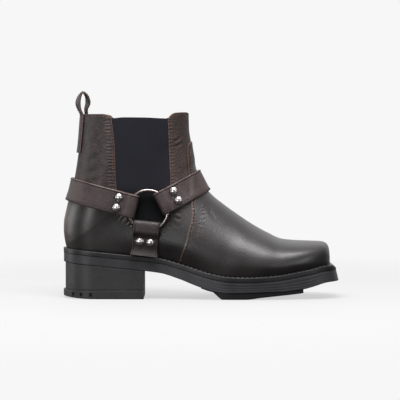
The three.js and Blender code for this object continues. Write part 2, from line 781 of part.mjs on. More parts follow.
// Frame of a ring: its middle and plane, resting on the straps that it holds
function ringFrame(side) {
  const [x, z] = sidePoint(RING);
  const inward = new THREE.Vector3(0, -side, 0);
  const seen = (dx, dz) => meet(new THREE.Vector3(x + dx, side * across, z + dz), inward).point;
  const spread = ringRadius;
  const alongX = seen(spread, 0).sub(seen(-spread, 0));
  const alongZ = seen(0, spread).sub(seen(0, -spread));
  const normal = alongZ.cross(alongX).normalize();
  if (normal.y * side < 0) {
    normal.negate();
  }
  const middle = seen(0, 0);
  const rise = [REAR_SLOPE, FRONT_SLOPE, LOW_SLOPE].map((slope) => {
    const a = (slope * Math.PI) / 180;
    const p = seen(Math.cos(a) * ringRadius, Math.sin(a) * ringRadius);
    return p.sub(middle).dot(normal);
  });
  const lift = Math.max(0, ...rise) + gap + strapThickness + gap + ringWire / 2;
  return { side, normal, middle: middle.addScaledVector(normal, lift) };
}

const frames = { lateral: ringFrame(-1), medial: ringFrame(1) };

// Directions along and across a strap end that leaves the ring at a slope
function strapFrame(frame, slope) {
  const a = (slope * Math.PI) / 180;
  const along = new THREE.Vector3(Math.cos(a), 0, Math.sin(a));
  along.addScaledVector(frame.normal, -along.dot(frame.normal)).normalize();
  const sideways = new THREE.Vector3().crossVectors(frame.normal, along).normalize();
  const place = (s, v, h) => frame.middle.clone()
    .addScaledVector(along, s)
    .addScaledVector(sideways, v)
    .addScaledVector(frame.normal, h);
  const ground = (s, v) => {
    const from = place(s, v, ballWidth / 2);
    const hit = meet(from, frame.normal.clone().negate());
    return hit ? ballWidth / 2 - hit.distance : -strapThickness;
  };
  return { place, ground };
}

const foldEnd = 1.45 * rivetDistance;
const wireHalf = ringWire / 2 + gap;

// Small steps of a strap's bend round the wire
const bendStep = strapThickness / 2.2;

// A strap's end: folded round the ring's wire and doubled as far as the rivets
function strapEnd(frame, direction, width) {
  const { place, ground } = strapFrame(frame, direction);
  const half = width / 2;
  const tunnelStart = Math.sqrt((ringRadius - wireHalf) ** 2 - half * half);
  const foldDistance = tunnelStart - strapThickness;
  const rows = [-1, -0.5, 0, 0.5, 1].map((share_) => {
    const v = share_ * half;
    const low = (s) => ground(s, v) + gap;
    const double = (s) => low(s) + 2 * strapThickness;
    const overWire = wireHalf + strapThickness;
    const wireEnd = ringRadius + wireHalf;
    const beforeBend = [ringRadius - 2 * bendStep, foldDistance + 2 * bendStep];
    const under = [foldEnd, 0.85 * foldEnd, rivetDistance, wireEnd, ...beforeBend];
    const lower = under.map((s) => place(s, v, low(s) - 2 * gap));
    const bend = [
      place(foldDistance + 0.4 * bendStep, v, low(foldDistance) + strapThickness * 0.8),
      place(foldDistance, v, (low(foldDistance) + overWire) / 2),
      place(foldDistance + bendStep, v, overWire - 1.2 * bendStep),
    ];
    const slope = wireEnd + 4 * bendStep;
    const upper = [
      place(foldDistance + 3 * bendStep, v, overWire),
      place(wireEnd - bendStep, v, overWire),
      place(slope, v, Math.max(double(slope), (overWire + double(slope)) / 2)),
      place(rivetDistance - rivetDiameter / 2, v, double(rivetDistance - rivetDiameter / 2)),
      place(rivetDistance + rivetDiameter / 2, v, double(rivetDistance + rivetDiameter / 2)),
      place(0.92 * foldEnd, v, double(0.92 * foldEnd)),
      place(foldEnd, v, low(foldEnd) + strapThickness - gap / 6),
    ];
    return [...lower, ...bend, ...upper];
  });
  const tunnelRows = [-1.3, 0, 1.3].map((share_) => {
    const v = share_ * half;
    const [start, end] = [tunnelStart, ringRadius + wireHalf];
    return [
      place(start, v, -wireHalf),
      place(end + 2 * gap, v, -wireHalf),
      place(end + 4 * bendStep, v, -wireHalf + 0.4 * bendStep),
      place(end + 2 * gap, v, wireHalf),
      place(start, v, wireHalf),
    ];
  });
  return solidOfRows(rows).subtract(solidOfRows(tunnelRows)).subtract(seatSkin);
}

// Side view band from a ring outwards, as wide as the strap, or widening to its end
function band(slope, width, from, to, endWidth = width) {
  const [x, z] = sidePoint(RING);
  const a = (slope * Math.PI) / 180;
  const at = (s, v) => [
    x + Math.cos(a) * s - Math.sin(a) * v,
    z + Math.sin(a) * s + Math.cos(a) * v,
  ];
  const [half, last] = [width / 2, endWidth / 2];
  return sidePrism([at(from, -half), at(to, -last), at(to, last), at(from, half)], -across, across);
}

const seatSkin = skin(gap);
const strapShell = skin(gap + strapThickness).subtract(seatSkin);
const easedShell = skin(gap + strapThickness, strapEase).subtract(skin(gap, strapEase));

function buildCrossStrap(slope, reach) {
  const ends = Object.values(frames).map((frame) => strapEnd(frame, slope, strapWidth));
  const middle = easedShell.intersect(band(slope, strapWidth, 0.93 * foldEnd, reach)).subtract(seatSkin);
  return ends.reduce((whole, end) => whole.add(end), middle);
}

const lowStrapReach = 0.3 * bootHeight;

function buildLowStrap(frame) {
  const end = strapEnd(frame, LOW_SLOPE, lowStrapWidth);
  const half = frame.side < 0 ? [-across, 0] : [0, across];
  const sideOnly = box(far, half[1] - half[0], far, 0, (half[0] + half[1]) / 2, 0);
  return strapShell
    .intersect(band(LOW_SLOPE, lowStrapWidth, 0.93 * foldEnd, lowStrapReach, lowStrapFoot))
    .intersect(sideOnly)
    .subtract(belowSeat)
    .add(end.subtract(belowSeat));
}

function buildRing(frame) {
  const geometry = new THREE.TorusGeometry(ringRadius, ringWire / 2, 6, 28);
  const turn = new THREE.Quaternion().setFromUnitVectors(new THREE.Vector3(0, 0, 1), frame.normal);
  geometry.applyQuaternion(turn);
  geometry.translate(frame.middle.x, frame.middle.y, frame.middle.z);
  return solid(geometry);
}

function buildRivet(frame, slope, v) {
  const { place, ground } = strapFrame(frame, slope);
  const radius = rivetDiameter / 2;
  const profile = [
    [0, 0],
    [radius, 0],
    [radius, 0.3 * rivetHeight],
    [0.6 * radius, 0.85 * rivetHeight],
    [0, rivetHeight],
  ].map(([r, h]) => new THREE.Vector2(r, h));
  const geometry = new THREE.LatheGeometry(profile, 10);
  geometry.rotateX(Math.PI / 2);
  const turn = new THREE.Quaternion().setFromUnitVectors(new THREE.Vector3(0, 0, 1), frame.normal);
  geometry.applyQuaternion(turn);
  const edges = [-1, 1].flatMap((i) => [
    ground(rivetDistance + i * radius, v),
    ground(rivetDistance, v + i * radius),
  ]);
  const height = Math.max(...edges, ground(rivetDistance, v)) + gap + 2 * strapThickness + gap;
  const seat = place(rivetDistance, v, height);
  geometry.translate(seat.x, seat.y, seat.z);
  return solid(geometry);
}

// Pull loop: a teardrop of leather above the collar, its tails on both sides of the wall
function buildLoop() {
  const collar = bootHeight * COLLAR[1].height;
  const root = collar + gap;
  const back = backX(root);
  const centre = back + wall / 2;
  const half = loopLength / 2;
  const thick = 1.6 * loopTail;
  const outer = smoothLine([
    [back - gap - loopTail, root],
    [centre - 0.8 * half, collar + 0.28 * loopHeight],
    [centre - half, collar + 0.6 * loopHeight],
    [centre - 0.6 * half, collar + 0.87 * loopHeight],
    [centre, collar + loopHeight],
    [centre + 0.6 * half, collar + 0.87 * loopHeight],
    [centre + half, collar + 0.6 * loopHeight],
    [centre + 0.8 * half, collar + 0.28 * loopHeight],
    [back + wall + gap + loopTail, root],
  ], 24);
  const inner = smoothLine([
    [centre - 0.3, root],
    [centre - 0.8 * half + thick, collar + 0.34 * loopHeight],
    [centre - half + thick, collar + 0.6 * loopHeight],
    [centre, collar + loopHeight - thick],
    [centre + half - thick, collar + 0.6 * loopHeight],
    [centre + 0.8 * half - thick, collar + 0.34 * loopHeight],
    [centre + 0.3, root],
  ], 18);
  const near = loopShift - loopWidth / 2;
  const top = sidePrism([...outer, ...inner.reverse()], near, near + loopWidth);
  const high = root + 0.12 * loopHeight;
  const long = 0.15 * across;
  const place = (low) => [backX(low) + wall, loopShift, (high + low) / 2];
  const strip = (low) => box(long, loopWidth, high - low, ...place(low));
  const outside = upperForm(gap + loopTail).subtract(upperForm(gap)).intersect(strip(loopLow));
  const inside = upperForm(-wall - gap).subtract(upperForm(-wall - gap - loopTail)).intersect(strip(loopInner));
  return top.add(outside).add(inside);
}

const node = (name, shape, colour, roughness, metalness = 0) => {
  const material = new THREE.MeshStandardMaterial({ color: COLOURS[colour], roughness, metalness });
  const mesh = new THREE.Mesh(geometryOf(shape), material);
  mesh.name = name;
  return mesh;
};

const boot = new THREE.Group();
boot.add(node('outsole', buildOutsole(), 'rubber', 0.6));
boot.add(node('heel_block', buildHeelBlock(), 'rubber', 0.45));
boot.add(node('heel_toplift', buildToplift(), 'rubber', 0.6));
boot.add(node('welt', buildWelt(), 'welt', 0.55));
boot.add(node('insole', buildInsole(), 'lining', 0.8));
boot.add(node('upper', buildUpper(), 'leather', 0.5));
boot.add(node('gore_lateral', buildGore(-1), 'elastic', 0.9));
boot.add(node('gore_medial', buildGore(1), 'elastic', 0.9));
boot.add(node('pull_loop', buildLoop(), 'strap', 0.6));
boot.add(node('strap_rear', buildCrossStrap(REAR_SLOPE, far), 'strap', 0.6));
boot.add(node('strap_front', buildCrossStrap(FRONT_SLOPE, far), 'strap', 0.6));
Object.entries(frames).forEach(([name, frame]) => {
  boot.add(node(`strap_low_${name}`, buildLowStrap(frame), 'strap', 0.6));
  boot.add(node(`ring_${name}`, buildRing(frame), 'nickel', 0.3, 1));
  Object.entries({ rear: REAR_SLOPE, front: FRONT_SLOPE, low: LOW_SLOPE }).forEach(([strap, slope]) => {
    [-1, 1].forEach((end, i) => {
      const rivet = buildRivet(frame, slope, (end * rivetSpacing) / 2);
      boot.add(node(`rivet_${strap}_${name}_${i + 1}`, rivet, 'nickel', 0.25, 1));
    });
  });
});

// The origin goes to the middle of the underside of the whole boot's box
const bounds = new THREE.Box3().setFromObject(boot);
const middle = bounds.getCenter(new THREE.Vector3());
boot.position.set(-middle.x, -middle.y, -bounds.min.z);

export default boot;
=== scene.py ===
"""Looks of a man's harness ankle boot for the right foot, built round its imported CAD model.

Lengths are millimetres in the boot's own frame, where x is 0 at the back of the sole and
z is 0 on the floor, and become metres in the CAD frame when a mesh is made.
"""

import math

import bmesh
import bpy
import numpy as np
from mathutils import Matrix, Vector
from mathutils.bvhtree import BVHTree


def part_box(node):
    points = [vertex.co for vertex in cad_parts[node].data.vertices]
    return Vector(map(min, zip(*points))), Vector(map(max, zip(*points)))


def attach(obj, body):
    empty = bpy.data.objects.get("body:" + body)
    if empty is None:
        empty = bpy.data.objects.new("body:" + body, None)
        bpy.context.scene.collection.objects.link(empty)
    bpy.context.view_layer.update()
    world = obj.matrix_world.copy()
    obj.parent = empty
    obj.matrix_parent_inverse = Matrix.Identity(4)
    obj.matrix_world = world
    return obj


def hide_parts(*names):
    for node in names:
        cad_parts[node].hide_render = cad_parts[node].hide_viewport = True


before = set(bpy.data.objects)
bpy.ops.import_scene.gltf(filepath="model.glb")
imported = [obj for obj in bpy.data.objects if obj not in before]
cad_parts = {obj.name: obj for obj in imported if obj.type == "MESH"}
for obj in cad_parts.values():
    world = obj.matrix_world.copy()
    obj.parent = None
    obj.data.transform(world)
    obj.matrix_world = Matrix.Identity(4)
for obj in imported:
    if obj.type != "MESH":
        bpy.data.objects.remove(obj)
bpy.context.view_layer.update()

MM = 0.001

# Driving sizes, the same as in the part's source
SOLE_LENGTH = 305
BALL_WIDTH = 104
BOOT_HEIGHT = 205
SEAT_HEIGHT = 55
HEEL_LENGTH = 89.5
TOPLIFT_HEIGHT = 9.7
TOE_LIFT = 20
EDGE_THICKNESS = 14.5
WELT_THICKNESS = 4.2
WELT_SLOPE = 0.8
LEDGE_SIDE = 4.5
LEDGE_HEEL = 2.6
LEDGE_TOE = 8.2
OUTSOLE_REACH = 2.8
HEEL_INSET = 2.1
HEEL_FLUSH = 0.5
WALL = 2.4
OVERLAY = 1.2
INSOLE_THICKNESS = 4
STRAP_THICKNESS = 2.2
STRAP_WIDTH = 26
STRAP_EASE = 1.6
LOW_STRAP_WIDTH = 28
LOW_STRAP_FOOT = 32.5
RING_RADIUS = 21.8
RING_WIRE = 4.3
RIVET_DIAMETER = 8
RIVET_HEIGHT = 2.4
RIVET_DISTANCE = 34.5
LOOP_WIDTH = 24
LOOP_SHIFT = -3
LOOP_HEIGHT = 25
LOOP_LENGTH = 15
LOOP_TAIL = 2.1
LOOP_LOW = 160
LOOP_INNER = 182
SLOT_WIDTH = 3.4
SLOT_HEIGHT = 4.2
SLOT_DEPTH = 3
LUG_GROOVE = 4.5
LUG_DEPTH = 3.2
LUG_RIM = 3
TREAD_INSET = 6
TREAD_THIN = 1.2
WELT_DROP = 3.2
WELT_ROUND = 5.5
GAP = 0.3

LAST_LENGTH = SOLE_LENGTH - LEDGE_HEEL - LEDGE_TOE - OUTSOLE_REACH
LAST_HEEL = LEDGE_HEEL
LAST_TOE = LAST_HEEL + LAST_LENGTH
SHAFT_RISE = BOOT_HEIGHT - SEAT_HEIGHT
HEEL_ROUND = 0.3 * BALL_WIDTH
TOE_ROUND = 0.46 * BALL_WIDTH
TOE_POWER = 3.6
HEEL_POWER = 2.1
TOE_FLAT = 0.35
HEEL_FLAT = 0.12
SWING = 0.6
WIDEST = 0.3

# Slopes of the straps away from the ring, in degrees seen from the side
REAR_SLOPE = 165.5
FRONT_SLOPE = 28
LOW_SLOPE = 264.5


def table(columns, rows):
    """A table with named columns, as arrays."""
    return dict(zip(columns.split(), np.array(rows, float).T))


# Profile of the sole: place, share of LAST_LENGTH; height of its top, share of
# SEAT_HEIGHT; thickness of its side, share of EDGE_THICKNESS; tread, share of TOE_LIFT
SOLE = table("at top edge tread", [
    (-0.01, 1.008, 1.0, 0),
    (0.137, 0.932, 1.0, 0),
    (0.243, 0.874, 1.0, 0),
    (0.36, 0.805, 1.01, 0),
    (0.435, 0.703, 1.08, 0),
    (0.495, 0.602, 1.17, 0),
    (0.556, 0.506, 1.21, 0),
    (0.618, 0.452, 1.15, 0),
    (0.682, 0.44, 1.09, 0),
    (0.737, 0.449, 1.08, 0.09),
    (0.804, 0.477, 1.17, 0.185),
    (0.862, 0.528, 1.27, 0.265),
    (0.9, 0.565, 1.31, 0.335),
    (0.93, 0.594, 1.26, 0.52),
    (0.985, 0.653, 1.16, 0.85),
    (1.04, 0.66, 1.1, 1.0),
])

# Plan of the last at its feather edge: half widths, shares of BALL_WIDTH
PLAN = table("at outer inner", [
    (-0.03, 0.31, 0.31),
    (0.12, 0.318, 0.315),
    (0.24, 0.318, 0.3),
    (0.36, 0.325, 0.27),
    (0.46, 0.365, 0.29),
    (0.55, 0.42, 0.37),
    (0.63, 0.452, 0.445),
    (0.71, 0.45, 0.482),
    (0.8, 0.418, 0.47),
    (0.9, 0.36, 0.42),
    (1.04, 0.3, 0.37),
])

# Back line: rise, share of SHAFT_RISE above the seat; at, share of LAST_LENGTH
BACK = table("rise at", [
    (0, 0.001),
    (0.07, -0.006),
    (0.13, -0.009),
    (0.2, -0.008),
    (0.25, -0.003),
    (0.33, 0.0065),
    (0.44, 0.0245),
    (0.55, 0.036),
    (0.66, 0.045),
    (0.78, 0.053),
    (0.9, 0.058),
    (1.03, 0.063),
])

# Sections of the upper from the toe to the collar, with the same columns as in the
# part's source: where a slice starts and ends, its half widths and how it rounds off
SECTIONS = table("foot rise head height mid high shift crown power nape", [
    (1.0, 0, 1, 0.237, 0.35, 0.35, 0.035, 0.5, 2.2, 0.3),
    (0.997, 0, 0.998, 0.267, 0.35, 0.35, 0.035, 0.55, 2.6, 0.3),
    (0.987, 0, 0.989, 0.288, 0.36, 0.355, 0.035, 0.62, 2.8, 0.3),
    (0.967, 0, 0.971, 0.295, 0.375, 0.37, 0.035, 0.68, 2.8, 0.3),
    (0.925, 0, 0.932, 0.297, 0.405, 0.395, 0.035, 0.74, 2.7, 0.3),
    (0.868, 0, 0.877, 0.3, 0.445, 0.43, 0.034, 0.78, 2.55, 0.3),
    (0.803, 0, 0.824, 0.308, 0.478, 0.46, 0.03, 0.8, 2.35, 0.3),
    (0.732, 0, 0.763, 0.346, 0.496, 0.47, 0.024, 0.8, 2.15, 0.3),
    (0.65, 0, 0.701, 0.396, 0.487, 0.455, 0.016, 0.78, 2.05, 0.3),
    (0.567, 0, 0.647, 0.448, 0.455, 0.43, 0.01, 0.74, 2.0, 0.3),
    (0.479, 0, 0.599, 0.497, 0.425, 0.41, 0.005, 0.68, 2.0, 0.3),
    (0.386, 0, 0.557, 0.545, 0.398, 0.395, 0.002, 0.62, 2.0, 0.3),
    (0.292, 0, 0.528, 0.592, 0.372, 0.385, 0, 0.55, 2.0, 0.3),
    (0.198, 0, 0.51, 0.64, 0.352, 0.378, 0, 0.48, 2.0, 0.31),
    (0.115, 0, 0.494, 0.688, 0.342, 0.373, 0, 0.42, 2.0, 0.32),
    (0.052, 0, 0.488, 0.726, 0.34, 0.37, 0, 0.38, 2.0, 0.33),
    (0.014, 0, 0.487, 0.748, 0.342, 0.368, 0, 0.35, 2.0, 0.34),
    (0.0, 0.01, 0.485, 0.766, 0.345, 0.368, 0, 0.34, 2.0, 0.34),
    (0.0, 0.1, 0.4805, 0.8, 0.35, 0.37, 0, 0.34, 2.0, 0.35),
    (0.0, 0.21, 0.477, 0.838, 0.356, 0.374, 0, 0.35, 2.0, 0.37),
    (0.0, 0.34, 0.4725, 0.872, 0.362, 0.378, 0, 0.36, 2.05, 0.38),
    (0.0, 0.5, 0.4695, 0.906, 0.37, 0.382, 0, 0.37, 2.1, 0.39),
    (0.0, 0.67, 0.4685, 0.944, 0.377, 0.386, 0, 0.38, 2.1, 0.4),
    (0.0, 0.84, 0.468, 0.98, 0.382, 0.388, 0, 0.38, 2.1, 0.4),
    (0.0, 1.03, 0.4675, 1.02, 0.385, 0.39, 0, 0.38, 2.1, 0.4),
])

# Outlines seen from the side: at, share of LAST_LENGTH; height, share of BOOT_HEIGHT
COLLAR = table("at height", [
    (-0.06, 0.988),
    (0.09, 0.99),
    (0.145, 0.99),
    (0.163, 0.984),
    (0.179, 0.967),
    (0.225, 0.972),
    (0.3, 0.971),
    (0.391, 0.966),
    (0.405, 0.986),
    (0.422, 0.997),
    (0.46, 1.0),
    (0.467, 0.996),
    (0.52, 0.98),
])
GORE = table("at height", [
    (0.179, 1.08),
    (0.179, 0.967),
    (0.19, 0.83),
    (0.197, 0.6),
    (0.212, 0.51),
    (0.242, 0.445),
    (0.285, 0.412),
    (0.335, 0.405),
    (0.374, 0.42),
    (0.395, 0.455),
    (0.401, 0.51),
    (0.4, 0.62),
    (0.396, 0.77),
    (0.391, 0.966),
    (0.391, 1.08),
])
VAMP = table("at height", [
    (1.2, 0.9),
    (0.49, 0.85),
    (0.474, 0.84),
    (0.464, 0.825),
    (0.461, 0.8),
    (0.466, 0.68),
    (0.476, 0.54),
    (0.478, 0.42),
    (0.468, 0.375),
    (0.459, 0.31),
    (0.438, 0.23),
    (0.42, 0.12),
    (1.2, 0.02),
])
RING_AT = 0.317
RING_HEIGHT = 0.475
SLOTS = [0.135, 0.237, 0.355]


def curve(rows, key, value):
    """A cubic through a table's rows that never overshoots them."""
    x, y = rows[key], rows[value]
    rises = np.diff(y) / np.diff(x)
    before = np.append(rises[0], rises)
    after = np.append(rises, rises[-1])
    level = before * after <= 0
    slope = np.where(level, 0, 2 * before * after / np.where(level, 1, before + after))

    def at(place):
        p = np.clip(place, x[0], x[-1])
        i = np.clip(np.searchsorted(x, p), 1, len(x) - 1)
        step = x[i] - x[i - 1]
        t = (p - x[i - 1]) / step
        rest = 1 - t
        return (
            y[i - 1] * (1 + 2 * t) * rest**2 + slope[i - 1] * step * t * rest**2
            + y[i] * t**2 * (3 - 2 * t) - slope[i] * step * t**2 * rest
        )

    return at


sole_top = curve(SOLE, "at", "top")
sole_edge = curve(SOLE, "at", "edge")
sole_tread = curve(SOLE, "at", "tread")
plan_outer = curve(PLAN, "at", "outer")
plan_inner = curve(PLAN, "at", "inner")
back_at = curve(BACK, "rise", "at")
collar_height = curve(COLLAR, "at", "height")
STATIONS = dict(SECTIONS, place=np.arange(len(SECTIONS["foot"]), dtype=float))
station = {name: curve(STATIONS, "place", name) for name in SECTIONS}
FIRST_ON_BACK = SECTIONS["rise"][SECTIONS["rise"] > 0][0]


def share(x):
    return (x - LAST_HEEL) / LAST_LENGTH


def seat_z(x):
    return SEAT_HEIGHT * sole_top(share(x))


def under_z(x):
    return seat_z(x) - WELT_SLOPE - EDGE_THICKNESS * sole_edge(share(x))


def tread_z(x):
    return TOE_LIFT * sole_tread(share(x))


def welt_under(x):
    return seat_z(x) - WELT_SLOPE - WELT_THICKNESS


def back_x(z):
    return LAST_HEEL + LAST_LENGTH * back_at((z - SEAT_HEIGHT) / SHAFT_RISE)


def collar_z(x):
    return BOOT_HEIGHT * collar_height(share(x))


def smooth(t):
    s = np.clip(t, 0, 1)
    return s * s * (3 - 2 * s)


def rounded(distance, reach, power):
    """A quarter of a superellipse: 0 at distance 0, 1 from the reach on."""
    left = np.clip(1 - distance / reach, 0, 1)
    return (1 - left**power) ** (1 / power)


def plan_half(x, side, ledge=0.0, heel=0.0, toe=0.0):
    width = BALL_WIDTH * (plan_outer if side < 0 else plan_inner)(share(x)) + ledge
    from_heel = rounded(x - (LAST_HEEL - heel) + HEEL_FLAT, HEEL_ROUND + heel, HEEL_POWER)
    from_toe = rounded(LAST_TOE + toe + TOE_FLAT - x, TOE_ROUND + toe, TOE_POWER)
    return width * from_heel * from_toe


def plan_middle(x):
    return BALL_WIDTH * (plan_inner(share(x)) - plan_outer(share(x))) / 2


def plan_y(x, side, ledge=0.0, heel=0.0, toe=0.0):
    narrow = rounded(LAST_TOE + toe + TOE_FLAT - x, TOE_ROUND + toe, TOE_POWER)
    return plan_middle(x) * (1 - narrow) + side * plan_half(x, side, ledge, heel, toe)


def upper_point(place, t, side):
    """Points of the upper's form: place along the stations, t from foot 0 to head 1."""
    rise = station["rise"](place)
    foot_x = np.where(
        rise >= FIRST_ON_BACK,
        back_x(SEAT_HEIGHT + SHAFT_RISE * rise),
        LAST_HEEL + LAST_LENGTH * station["foot"](place),
    )
    foot_z = np.where(rise > 0, seat_z(LAST_HEEL) + SHAFT_RISE * rise, seat_z(foot_x))
    head_x = LAST_HEEL + LAST_LENGTH * station["head"](place)
    head_z = BOOT_HEIGHT * station["height"](place)
    x = foot_x + (head_x - foot_x) * t
    z = foot_z + (head_z - foot_z) * t
    low = BALL_WIDTH * (plan_outer if side < 0 else plan_inner)(share(foot_x))
    mid = BALL_WIDTH * station["mid"](place) + side * plan_middle(x) * SWING
    high = BALL_WIDTH * station["high"](place)
    blend = np.where(
        t < WIDEST,
        low + (mid - low) * np.sin(np.pi / 2 * np.minimum(t / WIDEST, 1)),
        mid + (high - mid) * smooth((t - WIDEST) / (1 - WIDEST)),
    )
    crown = rounded(1 - t, station["crown"](place), station["power"](place))
    nape = rounded(x - back_x(z), BALL_WIDTH * station["nape"](place), HEEL_POWER)
    toe = rounded(LAST_TOE + TOE_FLAT - x, TOE_ROUND, TOE_POWER)
    lean = BALL_WIDTH * station["shift"](place) * (1 - crown * toe)
    return np.stack([x, lean + side * blend * crown * nape * toe, z], axis=-1)


def frame_shift():
    """From the boot's own frame to the CAD frame, in millimetres."""
    x = np.linspace(0, SOLE_LENGTH, 600)
    widest = plan_y(x, 1, LEDGE_SIDE, LEDGE_HEEL, LEDGE_TOE).max()
    return np.array([
        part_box("outsole")[1].x / MM - SOLE_LENGTH,
        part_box("welt")[1].y / MM - widest,
        0,
    ])


SHIFT = frame_shift()


def metres(points):
    return (np.asarray(points, float) + SHIFT) * MM


def millimetres(corner):
    return np.array(corner) / MM - SHIFT


def middle_of(box):
    low, high = (millimetres(corner) for corner in box)
    return (low + high) / 2


# Meshes

SHARP_ANGLE = 38


def add_object(name, data):
    thing = bpy.data.objects.new(name, data)
    bpy.context.scene.collection.objects.link(thing)
    return thing


def shade(mesh, sharp):
    mesh.shade_smooth()
    mesh.set_sharp_from_angle(angle=math.radians(sharp))


def make_piece(
    name, points, faces, material, replaced=(), sharp=SHARP_ANGLE, values=None,
):
    """A named mesh piece that rides on the boot and stands for CAD nodes."""
    mesh = bpy.data.meshes.new(name)
    mesh.from_pydata(metres(points).tolist(), [], faces)
    mesh.validate()
    face_outwards(mesh)
    for key, numbers in (values or {}).items():
        layer = mesh.attributes.new(key, "FLOAT", "POINT")
        layer.data.foreach_set("value", np.asarray(numbers, np.float32))
    shade(mesh, sharp)
    mesh.materials.append(material)
    piece = add_object(name, mesh)
    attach(piece, "root")
    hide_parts(*replaced)
    return piece


def face_outwards(mesh):
    work = bmesh.new()
    work.from_mesh(mesh)
    bmesh.ops.recalc_face_normals(work, faces=work.faces)
    work.to_mesh(mesh)
    work.free()


def grid_faces(rows, columns, closed=False, base=0):
    """Quads between rows of points; closed joins the last column to the first."""
    i, k = np.meshgrid(np.arange(rows - 1), np.arange(columns - (not closed)), indexing="ij")
    after = (k + 1) % columns
    faces = np.stack([
        i * columns + k, i * columns + after, (i + 1) * columns + after, (i + 1) * columns + k,
    ], axis=-1)
    return (faces.reshape(-1, 4) + base).tolist()


def unit(vectors):
    return vectors / np.maximum(np.linalg.norm(vectors, axis=-1, keepdims=True), 1e-9)


def grid_normals(points):
    """Directions across a grid of points, from its neighbours."""
    along = np.gradient(points, axis=0)
    around = np.gradient(points, axis=1)
    return unit(np.cross(along, around))


def soften(grid, passes):
    """Draws each row of a grid towards its neighbours, in place."""
    for _ in range(passes):
        grid[1:-1] = (grid[:-2] + 2 * grid[1:-1] + grid[2:]) / 4


def lengths_of(line):
    """Length along a line of points up to each of them."""
    return np.append(0, np.cumsum(np.linalg.norm(np.diff(line, axis=0), axis=1)))


def along_line(rows, lengths, at):
    """The rows of a line at given lengths along it."""
    return np.stack([np.interp(at, lengths, column) for column in rows.T], axis=-1)


def resample(line, count):
    """A line of points at equal steps along its length."""
    lengths = lengths_of(line)
    return along_line(line, lengths, np.linspace(0, lengths[-1], count))


def smooth_line(points, steps=8):
    """A centripetal Catmull-Rom spline through points, the same as in the part's source."""
    points = np.asarray(points, float)
    first = 2 * points[0] - points[1]
    last = 2 * points[-1] - points[-2]
    chain = np.vstack([first, points, last])
    line = []
    for a, b, c, d in zip(chain, chain[1:], chain[2:], chain[3:]):
        k = [max(np.linalg.norm(q - p) ** 0.5, 1e-4) for p, q in ((a, b), (b, c), (c, d))]
        into = ((b - a) / k[0] - (c - a) / (k[0] + k[1]) + (c - b) / k[1]) * k[1]
        out = ((c - b) / k[1] - (d - b) / (k[1] + k[2]) + (d - c) / k[2]) * k[1]
        for t in np.arange(steps) / steps:
            line.append(
                b * (1 + 2 * t) * (1 - t) ** 2 + into * t * (1 - t) ** 2
                + c * t * t * (3 - 2 * t) - out * t * t * (1 - t)
            )
    line.append(points[-1])
    return np.array(line)


def side_points(rows):
    return np.stack([LAST_HEEL + LAST_LENGTH * rows["at"], BOOT_HEIGHT * rows["height"]], axis=1)


def measure(points, line, closed=False):
    """Distance from side-view points to a line, and the length along it to the nearest."""
    ends = np.vstack([line, line[:1]]) if closed else line
    a, b = ends[:-1], ends[1:]
    span = b - a
    length = np.linalg.norm(span, axis=1)
    start = np.append(0, np.cumsum(length))[:-1]
    best = np.full(len(points), np.inf)
    along = np.zeros(len(points))
    for i in range(len(a)):
        if length[i] > 0:
            t = np.clip(((points - a[i]) @ span[i]) / length[i] ** 2, 0, 1)
            d = np.linalg.norm(points - a[i] - t[:, None] * span[i], axis=1)
            nearer = d < best
            best = np.where(nearer, d, best)
            along = np.where(nearer, start[i] + t * length[i], along)
    return best, along


def inside(points, outline):
    """Whether side-view points lie inside a closed outline."""
    within = np.zeros(len(points), bool)
    for a, b in zip(outline, np.roll(outline, -1, axis=0)):
        crosses = (a[1] > points[:, 1]) != (b[1] > points[:, 1])
        rise = b[1] - a[1] if b[1] != a[1] else 1
        at = a[0] + (points[:, 1] - a[1]) * (b[0] - a[0]) / rise
        within ^= crosses & (points[:, 0] < at)
    return within


def outline_of(rows, steps=6):
    corners = side_points(rows)
    return np.vstack([corners[:1], smooth_line(corners[1:-1], steps), corners[-1:]])


gore_outline = outline_of(GORE)
vamp_outline = outline_of(VAMP)
gore_edge = smooth_line(side_points(GORE)[1:-1])
vamp_edge = smooth_line(side_points(VAMP)[1:-1])


# The upper's form as one fine grid of rows from the toe to the collar

ROWS = 330
SIDE_COLUMNS = 92
CAP_ROWS = 10


def upper_grid():
    places = np.linspace(0, len(SECTIONS["foot"]) - 1, 700)[:, None]
    t = (1 - np.cos(np.pi * np.linspace(0, 1, 220)))[None, :] / 2
    outer = upper_point(places, t, -1)
    inner = upper_point(places, t, 1)[:, ::-1]
    dense = np.concatenate([outer, inner[:, 1:]], axis=1)
    rows = np.stack([resample(row, 2 * SIDE_COLUMNS + 1) for row in dense])
    step = np.linalg.norm(np.diff(rows, axis=0), axis=2)
    length = np.append(0, np.cumsum(step.mean(axis=1) + step.max(axis=1)))
    at = np.interp(np.linspace(0, length[-1], ROWS), length, np.arange(len(rows)))
    low = np.minimum(at.astype(int), len(rows) - 2)
    part = (at - low)[:, None, None]
    grid = rows[low] * (1 - part) + rows[low + 1] * part
    soften(grid, 4)
    return grid


def toe_cap(grid):
    """Rows that close the flat front of the toe."""
    first = grid[0]
    middle = (first + first[::-1]) / 2
    shares = np.linspace(0, 1, CAP_ROWS + 1)[:-1, None, None]
    cap = middle + (first - middle) * np.sin(shares * np.pi / 2)
    cap[..., 0] += 0.25 * np.cos(shares[..., 0] * np.pi / 2)
    return np.concatenate([cap, grid])


